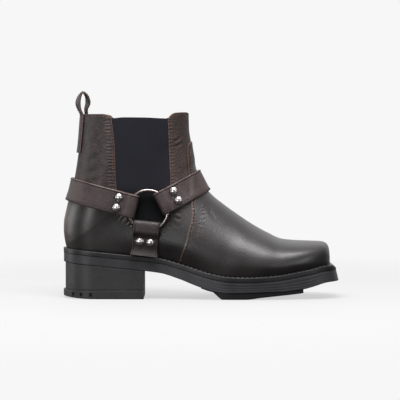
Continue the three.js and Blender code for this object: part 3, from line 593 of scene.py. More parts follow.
base = toe_cap(upper_grid())
normals = -grid_normals(base)
normals[:CAP_ROWS] = unit(
    normals[CAP_ROWS] * np.linspace(0, 1, CAP_ROWS)[:, None, None]
    + np.array([1, 0, 0]) * np.linspace(1, 0, CAP_ROWS)[:, None, None]
)
if normals[ROWS // 2, SIDE_COLUMNS // 2, 1] > 0:
    normals[CAP_ROWS:] = -normals[CAP_ROWS:]
twins = np.linalg.norm(base[:, 0] - base[:, -1], axis=1) < 0.05
joined = unit(normals[:, 0] + normals[:, -1])
normals[twins, 0] = joined[twins]
normals[twins, -1] = joined[twins]

flat = base.reshape(-1, 3)[:, [0, 2]]


def signed(outline):
    distance, _ = measure(flat, outline, closed=True)
    return np.where(inside(flat, outline), -distance, distance).reshape(base.shape[:2])


gore_field = signed(gore_outline)
vamp_field = signed(vamp_outline)
collar_field = base[..., 2] - collar_z(base[..., 0])
gore_along = measure(flat, gore_edge)[1].reshape(base.shape[:2])
vamp_along = measure(flat, vamp_edge)[1].reshape(base.shape[:2])


def snap(values, fields, twin_rows):
    """Moves grid points onto the lines where fields change sign, one after another."""
    locked = np.zeros(values.shape[:2], bool)
    shifts = [(0, 1), (0, -1), (1, 0), (-1, 0)]
    for field in fields:
        for reach in (0.5, 1.0):
            f = values[..., field]
            best = np.full(f.shape, np.inf)
            chosen = values.copy()
            for di, dk in shifts:
                other = np.roll(values, (-di, -dk), axis=(0, 1))
                valid = np.ones(f.shape, bool)
                if di:
                    valid[-1 if di > 0 else 0, :] = False
                if dk:
                    valid[:, -1 if dk > 0 else 0] = False
                g = other[..., field]
                crossing = valid & (f * g < 0) & ~locked
                t = np.where(crossing, f / np.where(crossing, f - g, 1), np.inf)
                better = crossing & (t <= reach) & (t < best)
                part = np.where(better, t, 0)[..., None]
                moved = values * (1 - part) + other * part
                chosen = np.where(better[..., None], moved, chosen)
                best = np.where(better, t, best)
            hit = np.isfinite(best)
            values = chosen
            values[..., field] = np.where(hit, 0, values[..., field])
            locked |= hit
        values[twin_rows, -1] = values[twin_rows, 0]
    return values


# Columns of what each point of the grid carries
X, Y, Z = range(3)
NORMAL = slice(3, 6)
FIELD_GORE, FIELD_COLLAR, FIELD_VAMP, GORE_ALONG, VAMP_ALONG = range(6, 11)
field_values = np.concatenate([
    base,
    normals,
    np.stack([gore_field, collar_field, vamp_field, gore_along, vamp_along], axis=-1),
], axis=-1)
field_values = snap(field_values, [FIELD_GORE, FIELD_COLLAR, FIELD_VAMP], twins)


def grid_index():
    rows, columns = base.shape[:2]
    index = np.arange(rows * columns).reshape(rows, columns)
    index[twins, -1] = index[twins, 0]
    half = columns // 2
    index[0, half + 1:] = index[0, :half][::-1]
    return index


def cut_faces():
    """Faces of the grid, split where an outline runs through a quad's corners."""
    index = grid_index()
    fields = field_values[..., [FIELD_GORE, FIELD_COLLAR, FIELD_VAMP]]
    quads = np.stack([index[:-1, :-1], index[:-1, 1:], index[1:, 1:], index[1:, :-1]], axis=-1)
    corners = np.stack([fields[:-1, :-1], fields[:-1, 1:], fields[1:, 1:], fields[1:, :-1]], axis=-2)
    quads = quads.reshape(-1, 4)
    corners = corners.reshape(-1, 4, 3)
    mixed = ((corners > 0).any(axis=1) & (corners < 0).any(axis=1)).any(axis=1)
    faces = [tuple(dict.fromkeys(quad)) for quad in quads[~mixed].tolist()]
    means = list(corners[~mixed].mean(axis=1))
    for quad, corner in zip(quads[mixed].tolist(), corners[mixed]):
        conflict = ((corner > 0).any(axis=0) & (corner < 0).any(axis=0)).argmax()
        zero = corner[:, conflict] == 0
        order = [(1, 2, 3), (3, 0, 1)] if zero[1] and zero[3] else [(0, 1, 2), (2, 3, 0)]
        for three in order:
            faces.append(tuple(quad[i] for i in three))
            means.append(corner[list(three)].mean(axis=0))
    kept = [i for i, face in enumerate(faces) if len(set(face)) > 2]
    return [faces[i] for i in kept], np.array([means[i] for i in kept])


grid_polygons, polygon_fields = cut_faces()
vertex = field_values.reshape(-1, field_values.shape[-1])


def shell(name, keep, outer, inner, material, slot, replaced=(), values=None, roll=0.3):
    """A closed panel of the upper between two offsets, with rolled edges."""
    faces = [grid_polygons[i] for i in np.flatnonzero(keep)]
    used = np.unique(np.fromiter((v for face in faces for v in face), int))
    new = np.full(len(vertex), -1)
    new[used] = np.arange(len(used))
    faces = [tuple(new[list(face)].tolist()) for face in faces]
    count = len(used)
    edges = {}
    for face in faces:
        for a, b in zip(face, face[1:] + face[:1]):
            edges[(a, b)] = edges.get((b, a), 0) + 1
    rim = [edge for edge in edges if (edge[1], edge[0]) not in edges]
    at_rim = np.zeros(count)
    at_rim[[v for edge in rim for v in edge]] = 1
    points = vertex[used][:, :3]
    direction = vertex[used][:, NORMAL]
    out = np.broadcast_to(outer, len(vertex))[used] - roll * at_rim
    into = np.broadcast_to(inner, len(vertex))[used] + roll * at_rim
    top = points + direction * out[:, None]
    bottom = points + direction * into[:, None]
    walls = [(b, a, a + count, b + count) for a, b in rim]
    under = [tuple(v + count for v in reversed(face)) for face in faces]
    attributes = {key: np.tile(np.asarray(v)[used], 2) for key, v in (values or {}).items()}
    make_piece(
        name, np.vstack([top, bottom]), faces + under + walls, material, replaced,
        values=attributes,
    )


# The skin that straps and stitches lie on

def skin_tree():
    rise = OVERLAY * smooth(-vertex[:, FIELD_VAMP] / 0.8 + 0.5)
    points = vertex[:, :3] + vertex[:, NORMAL] * (rise + relief)[:, None]
    return BVHTree.FromPolygons(points.tolist(), grid_polygons)


def bump_line(distance, width):
    return np.exp(-((distance / width) ** 2))


# Creases: ends seen from the side, width and depth, all in millimetres
CREASES = [
    (26, 152, 46, 164, 2.6, 0.25),
    (24, 139, 50, 149, 3.0, 0.3),
    (20, 129, 44, 133, 2.6, 0.25),
    (36, 178, 52, 187, 2.2, 0.22),
    (41, 169, 53, 174, 1.8, 0.18),
    (121, 172, 131, 180, 1.5, 0.4),
    (122, 167, 133, 173, 1.6, 0.4),
    (121, 148, 133, 142, 1.8, 0.25),
    (122, 137, 135, 130, 1.8, 0.3),
    (119, 101, 132, 95, 1.5, 0.35),
    (120, 94, 133, 87, 1.5, 0.4),
    (119, 86, 130, 79, 1.5, 0.35),
    (160, 100, 170, 88, 2.2, 0.2),
]
# Bow of a crease, share of its length
CREASE_BOW = 0.12


def crease_relief():
    """Soft troughs and ridges of the worn leather, in the boot's own sizes."""
    height = np.zeros(len(vertex))
    places = vertex[:, [X, Z]]
    for x0, z0, x1, z1, width, depth in CREASES:
        run, rise = x1 - x0, z1 - z0
        bend = ((x0 + x1) / 2 + rise * CREASE_BOW, (z0 + z1) / 2 - run * CREASE_BOW)
        d, along = measure(places, smooth_line([(x0, z0), bend, (x1, z1)], 6))
        total = np.hypot(run, rise)
        fade = smooth(along / total * 3) * smooth((total - along) / total * 3)
        height += depth * fade * (0.6 * bump_line(d - 1.7 * width, width) - bump_line(d, width))
    return height


relief = crease_relief()
skin = skin_tree()


def cast(start, direction):
    """Point and outward normal where a ray first meets the skin."""
    hit, normal, _, _ = skin.ray_cast(Vector(start), Vector(direction).normalized())
    if hit is None:
        return None, None
    normal = np.array(normal)
    return np.array(hit), normal if normal @ np.array(direction) < 0 else -normal


# Materials

def linear(red, green, blue):
    """A colour in linear light from its values from 0 to 255."""
    return tuple(
        ((v / 255 + 0.055) / 1.055) ** 2.4 if v > 10 else v / 255 / 12.92
        for v in (red, green, blue)
    )


class Nodes:
    """Short ways to add nodes to a tree and to join them."""

    def __init__(self, tree):
        self.tree = tree

    def add(self, kind, **settings):
        node = self.tree.nodes.new(kind)
        for key, value in settings.items():
            setattr(node, key, value)
        return node

    def feed(self, socket, value):
        if isinstance(value, bpy.types.NodeSocket):
            self.tree.links.new(value, socket)
        else:
            socket.default_value = value

    def math(self, operation, a, b=0.0):
        node = self.add("ShaderNodeMath", operation=operation)
        for socket, value in zip(node.inputs, (a, b)):
            self.feed(socket, value)
        return node.outputs[0]

    def span(self, value, low, high, to_low=0.0, to_high=1.0, kind="LINEAR"):
        node = self.add("ShaderNodeMapRange", interpolation_type=kind)
        for socket, number in zip(node.inputs, (value, low, high, to_low, to_high)):
            self.feed(socket, number)
        return node.outputs[0]


class Surface(Nodes):
    """A procedural material: a Principled shader and the nodes that feed it."""

    def __init__(self, name, roughness=0.5, **settings):
        self.material = bpy.data.materials.new(name)
        self.material.use_nodes = True
        super().__init__(self.material.node_tree)
        self.shader = self.tree.nodes["Principled BSDF"]
        self.shader.inputs["Roughness"].default_value = roughness
        for key, value in settings.items():
            socket = key.replace("_", " ").title().replace("Ior", "IOR")
            self.shader.inputs[socket].default_value = value
        self.place = self.add("ShaderNodeTexCoord").outputs["Object"]
        self.height = None

    def stretched(self, scale):
        node = self.add("ShaderNodeMapping")
        self.feed(node.inputs["Vector"], self.place)
        node.inputs["Scale"].default_value = scale
        return node.outputs["Vector"]

    def noise(self, size, detail=3.0, roughness=0.55, stretch=None, distortion=0.0):
        """Noise with features of about the given size in millimetres."""
        node = self.add("ShaderNodeTexNoise")
        self.feed(node.inputs["Vector"], self.stretched(stretch) if stretch else self.place)
        node.inputs["Scale"].default_value = 1 / (size * MM)
        node.inputs["Detail"].default_value = detail
        node.inputs["Roughness"].default_value = roughness
        node.inputs["Distortion"].default_value = distortion
        return node.outputs["Fac"]

    def cells(self, size, feature="F1", smoothness=None):
        node = self.add("ShaderNodeTexVoronoi", feature=feature)
        self.feed(node.inputs["Vector"], self.place)
        node.inputs["Scale"].default_value = 1 / (size * MM)
        if smoothness is not None:
            node.inputs["Smoothness"].default_value = smoothness
        return node.outputs["Distance"]

    def attribute(self, name):
        return self.add("ShaderNodeAttribute", attribute_name=name).outputs["Fac"]

    def mix(self, factor, a, b):
        """A mix of two colours, each a socket or values from 0 to 255."""
        node = self.add("ShaderNodeMix", data_type="RGBA")
        self.feed(node.inputs[0], factor)
        for socket, value in ((node.inputs[6], a), (node.inputs[7], b)):
            self.feed(socket, (*linear(*value), 1) if isinstance(value, tuple) else value)
        return node.outputs[2]

    def stain(self, colour, mask, amount, *tone):
        """The colour with a tone over it, as strong as a mask times an amount."""
        return self.mix(self.math("MULTIPLY", mask, amount), colour, tone)

    def line_at(self, distance, at, half):
        """1 on a line at a distance from an edge, 0 from half a width off it."""
        off = self.math("ABSOLUTE", self.math("SUBTRACT", distance, at))
        return self.span(off, 0, half, 1.0, 0.0, "SMOOTHSTEP")

    def bump(self, height, depth, strength=1.0):
        """Adds relief of the given depth in millimetres to what is there already."""
        node = self.add("ShaderNodeBump")
        node.inputs["Strength"].default_value = strength
        node.inputs["Distance"].default_value = depth * MM
        self.feed(node.inputs["Height"], height)
        if self.height is not None:
            self.feed(node.inputs["Normal"], self.height)
        self.height = node.outputs["Normal"]

    def finish(self, colour, roughness=None):
        self.feed(self.shader.inputs["Base Color"], colour)
        if roughness is not None:
            self.feed(self.shader.inputs["Roughness"], roughness)
        if self.height is not None:
            self.feed(self.shader.inputs["Normal"], self.height)
        return self.material


# Ribs on the leather, lines pressed in along its edges, and the elastic's ribs, in millimetres
RIB_PITCH = 3.7
GROOVE_AT = 2.8
GROOVE_HALF = 0.75
GROOVE_IN = 2.4
GROOVE_IN_HALF = 0.7
ELASTIC_RIB = 0.9


def upper_leather(name):
    """Brown leather: smooth, or pebbled where the grain attribute says so, with ribs
    drawn in along the seams and a raw edge and a stitched groove along each cut."""
    s = Surface(name, specular_ior_level=0.45, coat_weight=0.1, coat_roughness=0.3)
    grain = s.attribute("grain")
    cut = s.attribute("cut")
    cloud = s.noise(34, 3)
    patch = s.noise(7, 4, 0.6)
    pores = s.cells(1.15, "SMOOTH_F1", 0.35)
    wrinkle = s.noise(2.6, 3, 0.5, stretch=(1, 1, 1.5), distortion=0.8)
    along = s.math("ADD", s.attribute("along"), s.span(s.noise(9, 2), 0, 1, -2.2, 2.2))
    wave = s.math("COSINE", s.math("MULTIPLY", along, 2 * math.pi / RIB_PITCH))
    band = s.math("MULTIPLY", s.attribute("band"), s.span(s.noise(6, 2), 0.35, 0.6, 0.4, 1.0))
    groove = s.line_at(cut, GROOVE_AT, GROOVE_HALF)
    smooth_colour = s.mix(s.span(cloud, 0.35, 0.65), (32, 30, 29), (42, 39, 38))
    grained_colour = s.mix(s.span(patch, 0.42, 0.62), (31, 26, 23), (58, 41, 35))
    colour = s.mix(s.math("MULTIPLY", grain, 0.8), smooth_colour, grained_colour)
    colour = s.stain(colour, s.span(pores, 0.2, 0.55), 0.35, 22, 19, 18)
    # painted shade in the ribs' hollows and painted highlight on their crests, besides their bump
    colour = s.stain(colour, band, s.span(wave, -1, 1, 0.75, 0.0), 24, 19, 18)
    colour = s.stain(colour, band, s.span(wave, -1, 1, 0.0, 0.4), 84, 64, 57)
    colour = s.stain(colour, groove, 0.6, 20, 16, 15)
    colour = s.mix(s.span(cut, 0.2, 1.0, 0.55, 0.0), colour, (98, 72, 62))
    # painted light: lighter brown where light catches the heel's back edge and the front of the shaft
    colour = s.mix(s.attribute("painted_light"), colour, (88, 68, 61))
    # painted shade along the foot of the upper, where it meets the welt, and below the ring
    colour = s.mix(s.attribute("shade"), colour, (9, 8, 8))
    s.bump(s.math("MULTIPLY", wrinkle, s.span(grain, 0, 1, 0.12, 1.0)), 0.6, 0.9)
    s.bump(s.math("MULTIPLY", pores, s.span(grain, 0, 1, 0.35, 1.0)), -0.3, 0.8)
    s.bump(s.math("MULTIPLY", wave, band), 0.26, 1.0)
    s.bump(groove, -0.4, 1.0)
    s.bump(s.noise(0.8, 4, 0.6), 0.05, 0.8)
    rough = s.math("ADD", s.span(cloud, 0.3, 0.7, 0.33, 0.4), s.math("MULTIPLY", grain, 0.38))
    return s.finish(colour, rough)


def strap_leather(name):
    """Pebbled leather with darker stitched lines near its edges, and painted shade round its rivets
    and over the low straps.
    """
    s = Surface(name, specular_ior_level=0.4)
    rim = s.attribute("rim")
    cloud = s.noise(16, 3)
    pores = s.cells(1.05, "SMOOTH_F1", 0.35)
    groove = s.line_at(rim, GROOVE_IN, GROOVE_IN_HALF)
    colour = s.mix(s.span(cloud, 0.35, 0.65), (54, 43, 41), (71, 58, 56))
    colour = s.stain(colour, s.span(pores, 0.2, 0.55), 0.4, 30, 23, 23)
    colour = s.stain(colour, groove, 0.65, 26, 19, 18)
    colour = s.mix(s.span(rim, 0.4, 1.2, 0.4, 0.0), colour, (104, 78, 72))
    # painted shade round the rivets and over all of each low strap
    colour = s.mix(s.attribute("shade"), colour, (9, 8, 8))
    s.bump(s.noise(2.1, 3, 0.5), 0.3, 0.8)
    s.bump(pores, -0.3, 0.8)
    s.bump(s.noise(0.6, 3), 0.05, 0.8)
    return s.finish(colour, s.span(cloud, 0.3, 0.7, 0.44, 0.54))


def elastic_weave():
    """Ribbed elastic, with painted shade that darkens it downwards into the ring."""
    s = Surface("elastic_weave", specular_ior_level=0.12, sheen_weight=0.06, sheen_roughness=0.5)
    rib = s.add("ShaderNodeTexWave", bands_direction="X")
    s.feed(rib.inputs["Vector"], s.place)
    rib.inputs["Scale"].default_value = 2 / (2 * math.pi * ELASTIC_RIB * MM)
    weave = s.noise(0.5, 2)
    fac = rib.outputs["Fac"]
    colour = s.mix(fac, (22, 22, 27), (34, 34, 41))
    colour = s.stain(colour, s.span(s.noise(22, 2), 0.35, 0.7), 0.4, 32, 34, 40)
    # painted shade from the deep attribute, growing darker downwards into the ring
    colour = s.mix(s.attribute("deep"), colour, (7, 8, 10))
    s.bump(fac, 0.16, 0.8)
    s.bump(weave, 0.08, 0.8)
    return s.finish(colour, 0.82)


def rubber(name, low, high, roughness):
    s = Surface(name, specular_ior_level=0.4)
    cloud = s.noise(20, 4)
    colour = s.mix(s.span(cloud, 0.35, 0.65), low, high)
    streak = s.noise(14, 3, 0.6, stretch=(1, 1, 14))
    s.bump(streak, 0.14, 0.6)
    s.bump(s.noise(0.7, 3), 0.04, 0.7)
    return s.finish(colour, s.span(s.noise(8, 3), 0.3, 0.7, roughness - 0.04, roughness + 0.06))


def metal(name, low, high, roughness):
    s = Surface(name, metallic=1.0)
    cloud = s.noise(2.5, 3)
    s.bump(s.noise(1.1, 2), 0.012, 0.5)
    colour = s.mix(cloud, low, high)
    return s.finish(colour, s.span(cloud, 0.3, 0.7, roughness, roughness + 0.07))


def thread(name, colour):
    s = Surface(name, specular_ior_level=0.3)
    twist = s.noise(0.5, 2, 0.5, stretch=(1, 1, 0.4))
    s.bump(twist, 0.1, 0.8)
    return s.finish(s.mix(twist, tuple(v * 0.8 for v in colour), colour), 0.7)


def lining_leather():
    s = Surface("lining_leather", specular_ior_level=0.3)
    cloud = s.noise(14, 4)
    s.bump(s.cells(0.7), -0.08, 0.6)
    return s.finish(s.mix(s.span(cloud, 0.3, 0.7), (92, 74, 62), (118, 97, 82)), 0.78)


GRAINED = upper_leather("leather_quarters")
SMOOTH = upper_leather("leather_vamp")
ELASTIC = elastic_weave()
SOLE_RUBBER = rubber("rubber_sole", (31, 31, 33), (41, 41, 44), 0.46)
HEEL_RUBBER = rubber("rubber_heel", (31, 31, 32), (40, 40, 41), 0.5)
# painted shade: the tread rubber is a darker copy of the sole rubber, for the shade under the sole
SHADED_TREAD_RUBBER = rubber("rubber_tread_shaded", (15, 15, 16), (22, 22, 23), 0.55)
# painted shade: the welt rubber is darker than the sole rubber for the shade on the welt
SHADED_WELT_RUBBER = rubber("rubber_welt_shaded", (15, 15, 16), (22, 22, 23), 0.42)
NICKEL = metal("nickel_ring", (112, 105, 101), (142, 134, 129), 0.18)
DOME = metal("nickel_dome", (186, 180, 177), (216, 210, 207), 0.27)
THREAD = thread("thread_brown", (112, 84, 73))
STRAP_THREAD = thread("thread_straps", (22, 16, 15))
WELT_THREAD = thread("thread_dark", (66, 64, 64))
LINING = lining_leather()
STRAP = strap_leather("leather_strap")


# The upper's panels

# Marks on the upper: heights above the floor, distances from its edges, and offsets of its
# layers from the skin, in millimetres
PAINTED_SHADE_TOP = 128
PAINTED_SHADE_FADE = 20
FOOT_SHADE = 4
FIRST_ROW = 1.4
SECOND_ROW = 11.2
LOW_SEAM = 112
VAMP_LOW = 66
VAMP_HIGH = 104
SKIN_UNDER = -1.1
VAMP_UNDER = 0.1
VAMP_LAP = -9
LINING_LAYERS = (-1.35, -2.25)
ELASTIC_LAYERS = (-0.75, -1.3)


def rise_from(value, start, reach):
    """0 up to a start, 1 from a reach beyond it."""
    return smooth((value - start) / reach)


def fall_to(value, end, reach):
    """1 up to a reach short of an end, 0 from the end on."""
    return smooth((end - value) / reach)


def seam_values():
    """Marks on the leather: grain, distances to its cuts, ribs along seams, painted light on the
    heel's back edge and the shaft's front, and painted shade along the foot and below the ring.
    """
    x, z = vertex[:, X], vertex[:, Z]
    gore, vamp = vertex[:, FIELD_GORE], -vertex[:, FIELD_VAMP]
    collar = np.abs(vertex[:, FIELD_COLLAR])
    foot_shade = 0.85 * smooth(1 - (z - seat_z(x)) / FOOT_SHADE)
    front = rise_from(x, side_points(GORE)[:, 0].mean(), 10)
    low = fall_to(z, LOW_SEAM, 12) * front
    near, far = 0.6 + 6 * low, 9.8 - 4 * front * (1 - low) + 3 * low
    gore_band = rise_from(gore, near, 0.8) * fall_to(gore, far, 2)
    second = fall_to(z, VAMP_HIGH, 4) * rise_from(z, VAMP_LOW, 8)
    vamp_band = 0.45 * rise_from(vamp, 8.8, 1.2) * fall_to(vamp, 17, 5) * second
    edge_band = rise_from(vamp, 0.8, 0.6) * fall_to(vamp, 4.6, 0.8) * rise_from(z, VAMP_LOW, 8) * 0.6
    upper_part = rise_from(z, 98, 16)
    between = 0.55 * front * rise_from(z, VAMP_LOW, 20)
    under_ring = rise_from(x, 88, 20) * rise_from(z, 48, 8) * fall_to(z, VAMP_HIGH, 16)
    shaft_front = rise_from(x, 108, 14) * rise_from(z, 118, 20)
    quarters = {
        "grain": np.maximum(upper_part, between),
        "cut": np.minimum(np.abs(gore), collar),
        "along": vertex[:, GORE_ALONG],
        "band": gore_band,
        # painted shade: a dark line along the foot and a darker patch below the ring
        "shade": np.maximum(foot_shade, 0.5 * under_ring),
        # painted light on the heel's back edge and on the shaft's front
        "painted_light": 0.5 * fall_to(x, 11, 11) * fall_to(z, LOW_SEAM, 12) + 0.2 * shaft_front,
    }
    vamp_part = {
        "grain": 0.45 * rise_from(z, 140, 20),
        "cut": np.minimum(np.abs(vamp), collar),
        "along": vertex[:, VAMP_ALONG],
        "band": np.maximum(vamp_band, edge_band),
        "shade": foot_shade,
        "painted_light": 0 * z,
    }
    return quarters, vamp_part


def upper_panels():
    gore, collar, vamp = polygon_fields.T
    below = collar <= 0
    quarters, vamp_part = seam_values()
    shell(
        "upper_quarters", below & (gore >= 0) & (vamp > VAMP_LAP), relief, SKIN_UNDER,
        GRAINED, "leather", ["upper"], quarters,
    )
    lap = rise_from(vertex[:, FIELD_VAMP], VAMP_LAP, 3)
    shell(
        "upper_vamp", below & (vamp <= 0), OVERLAY + relief, VAMP_UNDER * lap + SKIN_UNDER * (1 - lap),
        SMOOTH, "leather", values=vamp_part,
    )
    shell("upper_lining", below & (gore >= 0), *LINING_LAYERS, LINING, "lining", roll=0.15)
    middle = np.array([vertex[list(face), Y].mean() for face in grid_polygons])
    # painted shade for the elastic, darker from above the ring downwards
    deep = {"deep": smooth((PAINTED_SHADE_TOP - vertex[:, Z]) / PAINTED_SHADE_FADE)}
    for side, name in ((-1, "lateral"), (1, "medial")):
        keep = below & (gore <= 0) & (middle * side > 0)
        replaced = [f"gore_{name}"]
        shell(f"elastic_{name}", keep, *ELASTIC_LAYERS, ELASTIC, "elastic", replaced, deep, 0.1)


upper_panels()


# The sole and heel

SOLE_STEPS = 240


def layer_places(x0, x1):
    """Places of a layer's rows, close together at its rounded ends."""
    turn = np.linspace(0, np.pi / 2, 22)
    ends = (1 - np.cos(turn)) ** 1.25
    start = x0 + min(HEEL_ROUND, (x1 - x0) / 2) * ends
    finish = x1 - min(TOE_ROUND, (x1 - x0) / 2) * ends
    middle = np.linspace(start.max(), finish.min(), SOLE_STEPS)
    return np.unique(np.round(np.concatenate([start, middle, finish]), 4))


def sole_layer(
    x0, x1, top, bottom, ledge, heel, toe, bevel,
    lean=0.0, side_relief=None, side_steps=10, foot=None,
):
    """A layer of the sole as rings of points lying across the foot, with rounded edges."""
    x = layer_places(x0, x1)
    inner = plan_y(x, 1, ledge, heel, toe)
    outer = plan_y(x, -1, ledge, heel, toe)
    high, deep = top(x), bottom(x)
    radius = np.minimum(bevel, (inner - outer) / 4)
    low = np.minimum(bevel if foot is None else foot, (inner - outer) / 4)
    turn = np.linspace(0, np.pi / 2, 4)
    heights = np.linspace(0, 1, side_steps)

    def side_chain(side):
        edge = inner if side > 0 else outer
        chain = []
        for angle in turn[:-1]:
            y = edge - side * radius * (1 - np.sin(angle))
            chain.append((y, high - radius * (1 - np.cos(angle))))
        for h in heights:
            z = (high - radius) + ((deep + low) - (high - radius)) * h
            push = side_relief(x, h) if side_relief else 0
            chain.append((edge + side * push, z))
        for angle in turn[1:]:
            y = edge - side * low * (1 - np.cos(angle))
            chain.append((y, deep + low * (1 - np.sin(angle))))
        return chain

    def crossing(start, finish, z):
        return [(start[0] * (1 - part) + finish[0] * part, z) for part in across]

    across = np.linspace(0, 1, 9)[1:-1]
    left, right = side_chain(1), side_chain(-1)
    ring = left + crossing(left[-1], right[-1], deep)
    ring += right[::-1] + crossing(right[0], left[0], high)
    forward = lean * smooth((x - x1) / TOE_ROUND + 1)
    points = []
    for y, z in ring:
        drop = np.clip((high - z) / np.maximum(high - deep, 1e-6), 0, 1)
        points.append(np.stack([x + forward * drop, y, z], axis=1))
    return closed_tube(np.stack(points, axis=1))


def closed_tube(grid):
    """Points and faces of rings of points, closed by a face at both ends."""
    rows, columns = grid.shape[:2]
    faces = grid_faces(rows, columns, closed=True)
    faces.append(list(range(columns)))
    faces.append([(rows - 1) * columns + k for k in range(columns)])
    return grid.reshape(-1, 3), faces


def subtract(piece, cutter_points, cutter_faces):
    """Cuts a closed shape out of a piece."""
    mesh = bpy.data.meshes.new("cutter")
    mesh.from_pydata(metres(cutter_points).tolist(), [], cutter_faces)
    face_outwards(mesh)
    cutter = add_object("cutter", mesh)
    change = piece.modifiers.new("cut", "BOOLEAN")
    change.operation = "DIFFERENCE"
    change.solver = "EXACT"
    change.object = cutter
    depsgraph = bpy.context.evaluated_depsgraph_get()
    result = bpy.data.meshes.new_from_object(piece.evaluated_get(depsgraph))
    piece.modifiers.clear()
    old = piece.data
    piece.data = result
    bpy.data.meshes.remove(old)
    bpy.data.objects.remove(cutter)
    shade(piece.data, SHARP_ANGLE)


BOX_FACES = [(0, 1, 3, 2), (4, 6, 7, 5), (0, 4, 5, 1), (2, 3, 7, 6), (0, 2, 6, 4), (1, 5, 7, 3)]


def boxes(places, length, width, height, turns):
    """Points and faces of several boxes."""
    points, faces = [], []
    for (x, y, z), turn in zip(places, turns):
        start = len(points)
        c, s = math.cos(turn), math.sin(turn)
        for dx in (-length / 2, length / 2):
            for dy in (-width / 2, width / 2):
                for dz in (-height / 2, height / 2):
                    points.append((x + dx * c - dy * s, y + dx * s + dy * c, z + dz))
        faces += [[start + i for i in face] for face in BOX_FACES]
    return points, faces


def build_welt():
    """A strip round the upper's foot, dropping at the toe."""
    front = LAST_TOE + LEDGE_TOE

    def top(x):
        return seat_z(x) - WELT_DROP * np.maximum(1 - (front - x) / WELT_ROUND, 0) ** 2

    points, faces = sole_layer(
        LAST_HEEL - LEDGE_HEEL, front, top, welt_under,
        LEDGE_SIDE, LEDGE_HEEL, LEDGE_TOE, 0.7, side_steps=6, foot=0.15,
    )
    welt = make_piece("welt_strip", points, faces, SHADED_WELT_RUBBER, ["welt"], sharp=50)
    inset = WALL + GAP
    hole, hole_faces = sole_layer(
        LAST_HEEL + inset, LAST_TOE - inset,
        lambda x: seat_z(x) + WELT_THICKNESS, lambda x: welt_under(x) - WELT_THICKNESS,
        -inset, -inset, -inset, 0.05, side_steps=2,
    )
    subtract(welt, hole, hole_faces)


def build_insole():
    edge = WALL + 2 * GAP
    points, faces = sole_layer(
        LAST_HEEL + edge, LAST_TOE - edge,
        lambda x: welt_under(x) + INSOLE_THICKNESS, welt_under, -edge, -edge, -edge, 0.6, side_steps=3,
    )
    make_piece("sock", points, faces, LINING, ["insole"])


# Place of each rib down the outsole's side, as a share, and its depth in millimetres
SIDE_RIBS = [(0.38, 0.22), (0.62, 0.18), (0.85, 0.15)]


def outsole_streaks(x, h):
    """Fine mouldings along the side of the outsole."""
    groove = -0.3 * bump_line(h - 0.06, 0.035) * rise_from(x, 130, 50)
    ribs = -sum(depth * bump_line(h - at, 0.03) for at, depth in SIDE_RIBS)
    return groove + ribs * rise_from(x, 150, 40)


TREAD_BACK = LAST_HEEL + 0.515 * LAST_LENGTH
TREAD_FRONT = LAST_HEEL + 0.9 * LAST_LENGTH
TREAD_ROUND = 0.0755 * LAST_LENGTH
TREAD_RAMP = 0.9
LUG_REACH = 0.24 * BALL_WIDTH
LUG_TURN = 0.25
HEEL_ROCKER = 0.14 * LAST_LENGTH
HEEL_LIFT = 2.6


def tread_under(x):
    """The tread's underside, which ramps down at its back and keeps its least thickness."""
    ramp = TREAD_RAMP * (TREAD_BACK + TREAD_ROUND - x)
    return np.minimum(np.maximum(tread_z(x), ramp), under_z(x) - TREAD_THIN)


def build_outsole():
    """The outsole's plate, and the forefoot's tread with its pairs of grooves."""
    points, faces = sole_layer(
        LAST_HEEL - LEDGE_HEEL + GAP, LAST_TOE + LEDGE_TOE, lambda x: welt_under(x) - GAP, under_z,
        LEDGE_SIDE - GAP, LEDGE_HEEL - GAP, LEDGE_TOE, 0.15, OUTSOLE_REACH, outsole_streaks, 22, 0.6,
    )
    make_piece("outsole_plate", points, faces, SOLE_RUBBER, ["outsole"], sharp=50)
    points, faces = sole_layer(
        TREAD_BACK, TREAD_FRONT, lambda x: under_z(x) - 0.05, tread_under,
        LEDGE_SIDE - TREAD_INSET, LEDGE_HEEL, LEDGE_TOE, 0.5, side_steps=4,
    )
    tread = make_piece("outsole_tread", points, faces, SHADED_TREAD_RUBBER)
    count = int((TREAD_FRONT - TREAD_BACK - 2 * LUG_GROOVE) / (3 * LUG_GROOVE))
    places, turns = [], []
    for i in range(1, count + 1):
        x = TREAD_BACK + (TREAD_FRONT - TREAD_BACK) * (i + 0.2) / (count + 1)
        for side in (-1, 1):
            edge = float(plan_y(x, side, LEDGE_SIDE - TREAD_INSET, LEDGE_HEEL, LEDGE_TOE))
            y = edge - side * (LUG_RIM + LUG_REACH / 2)
            places.append((x, y, float(tread_z(x)) + LUG_DEPTH - LUG_REACH / 2))
            turns.append(side * LUG_TURN)
    subtract(tread, *boxes(places, LUG_GROOVE, LUG_REACH, LUG_REACH, turns))


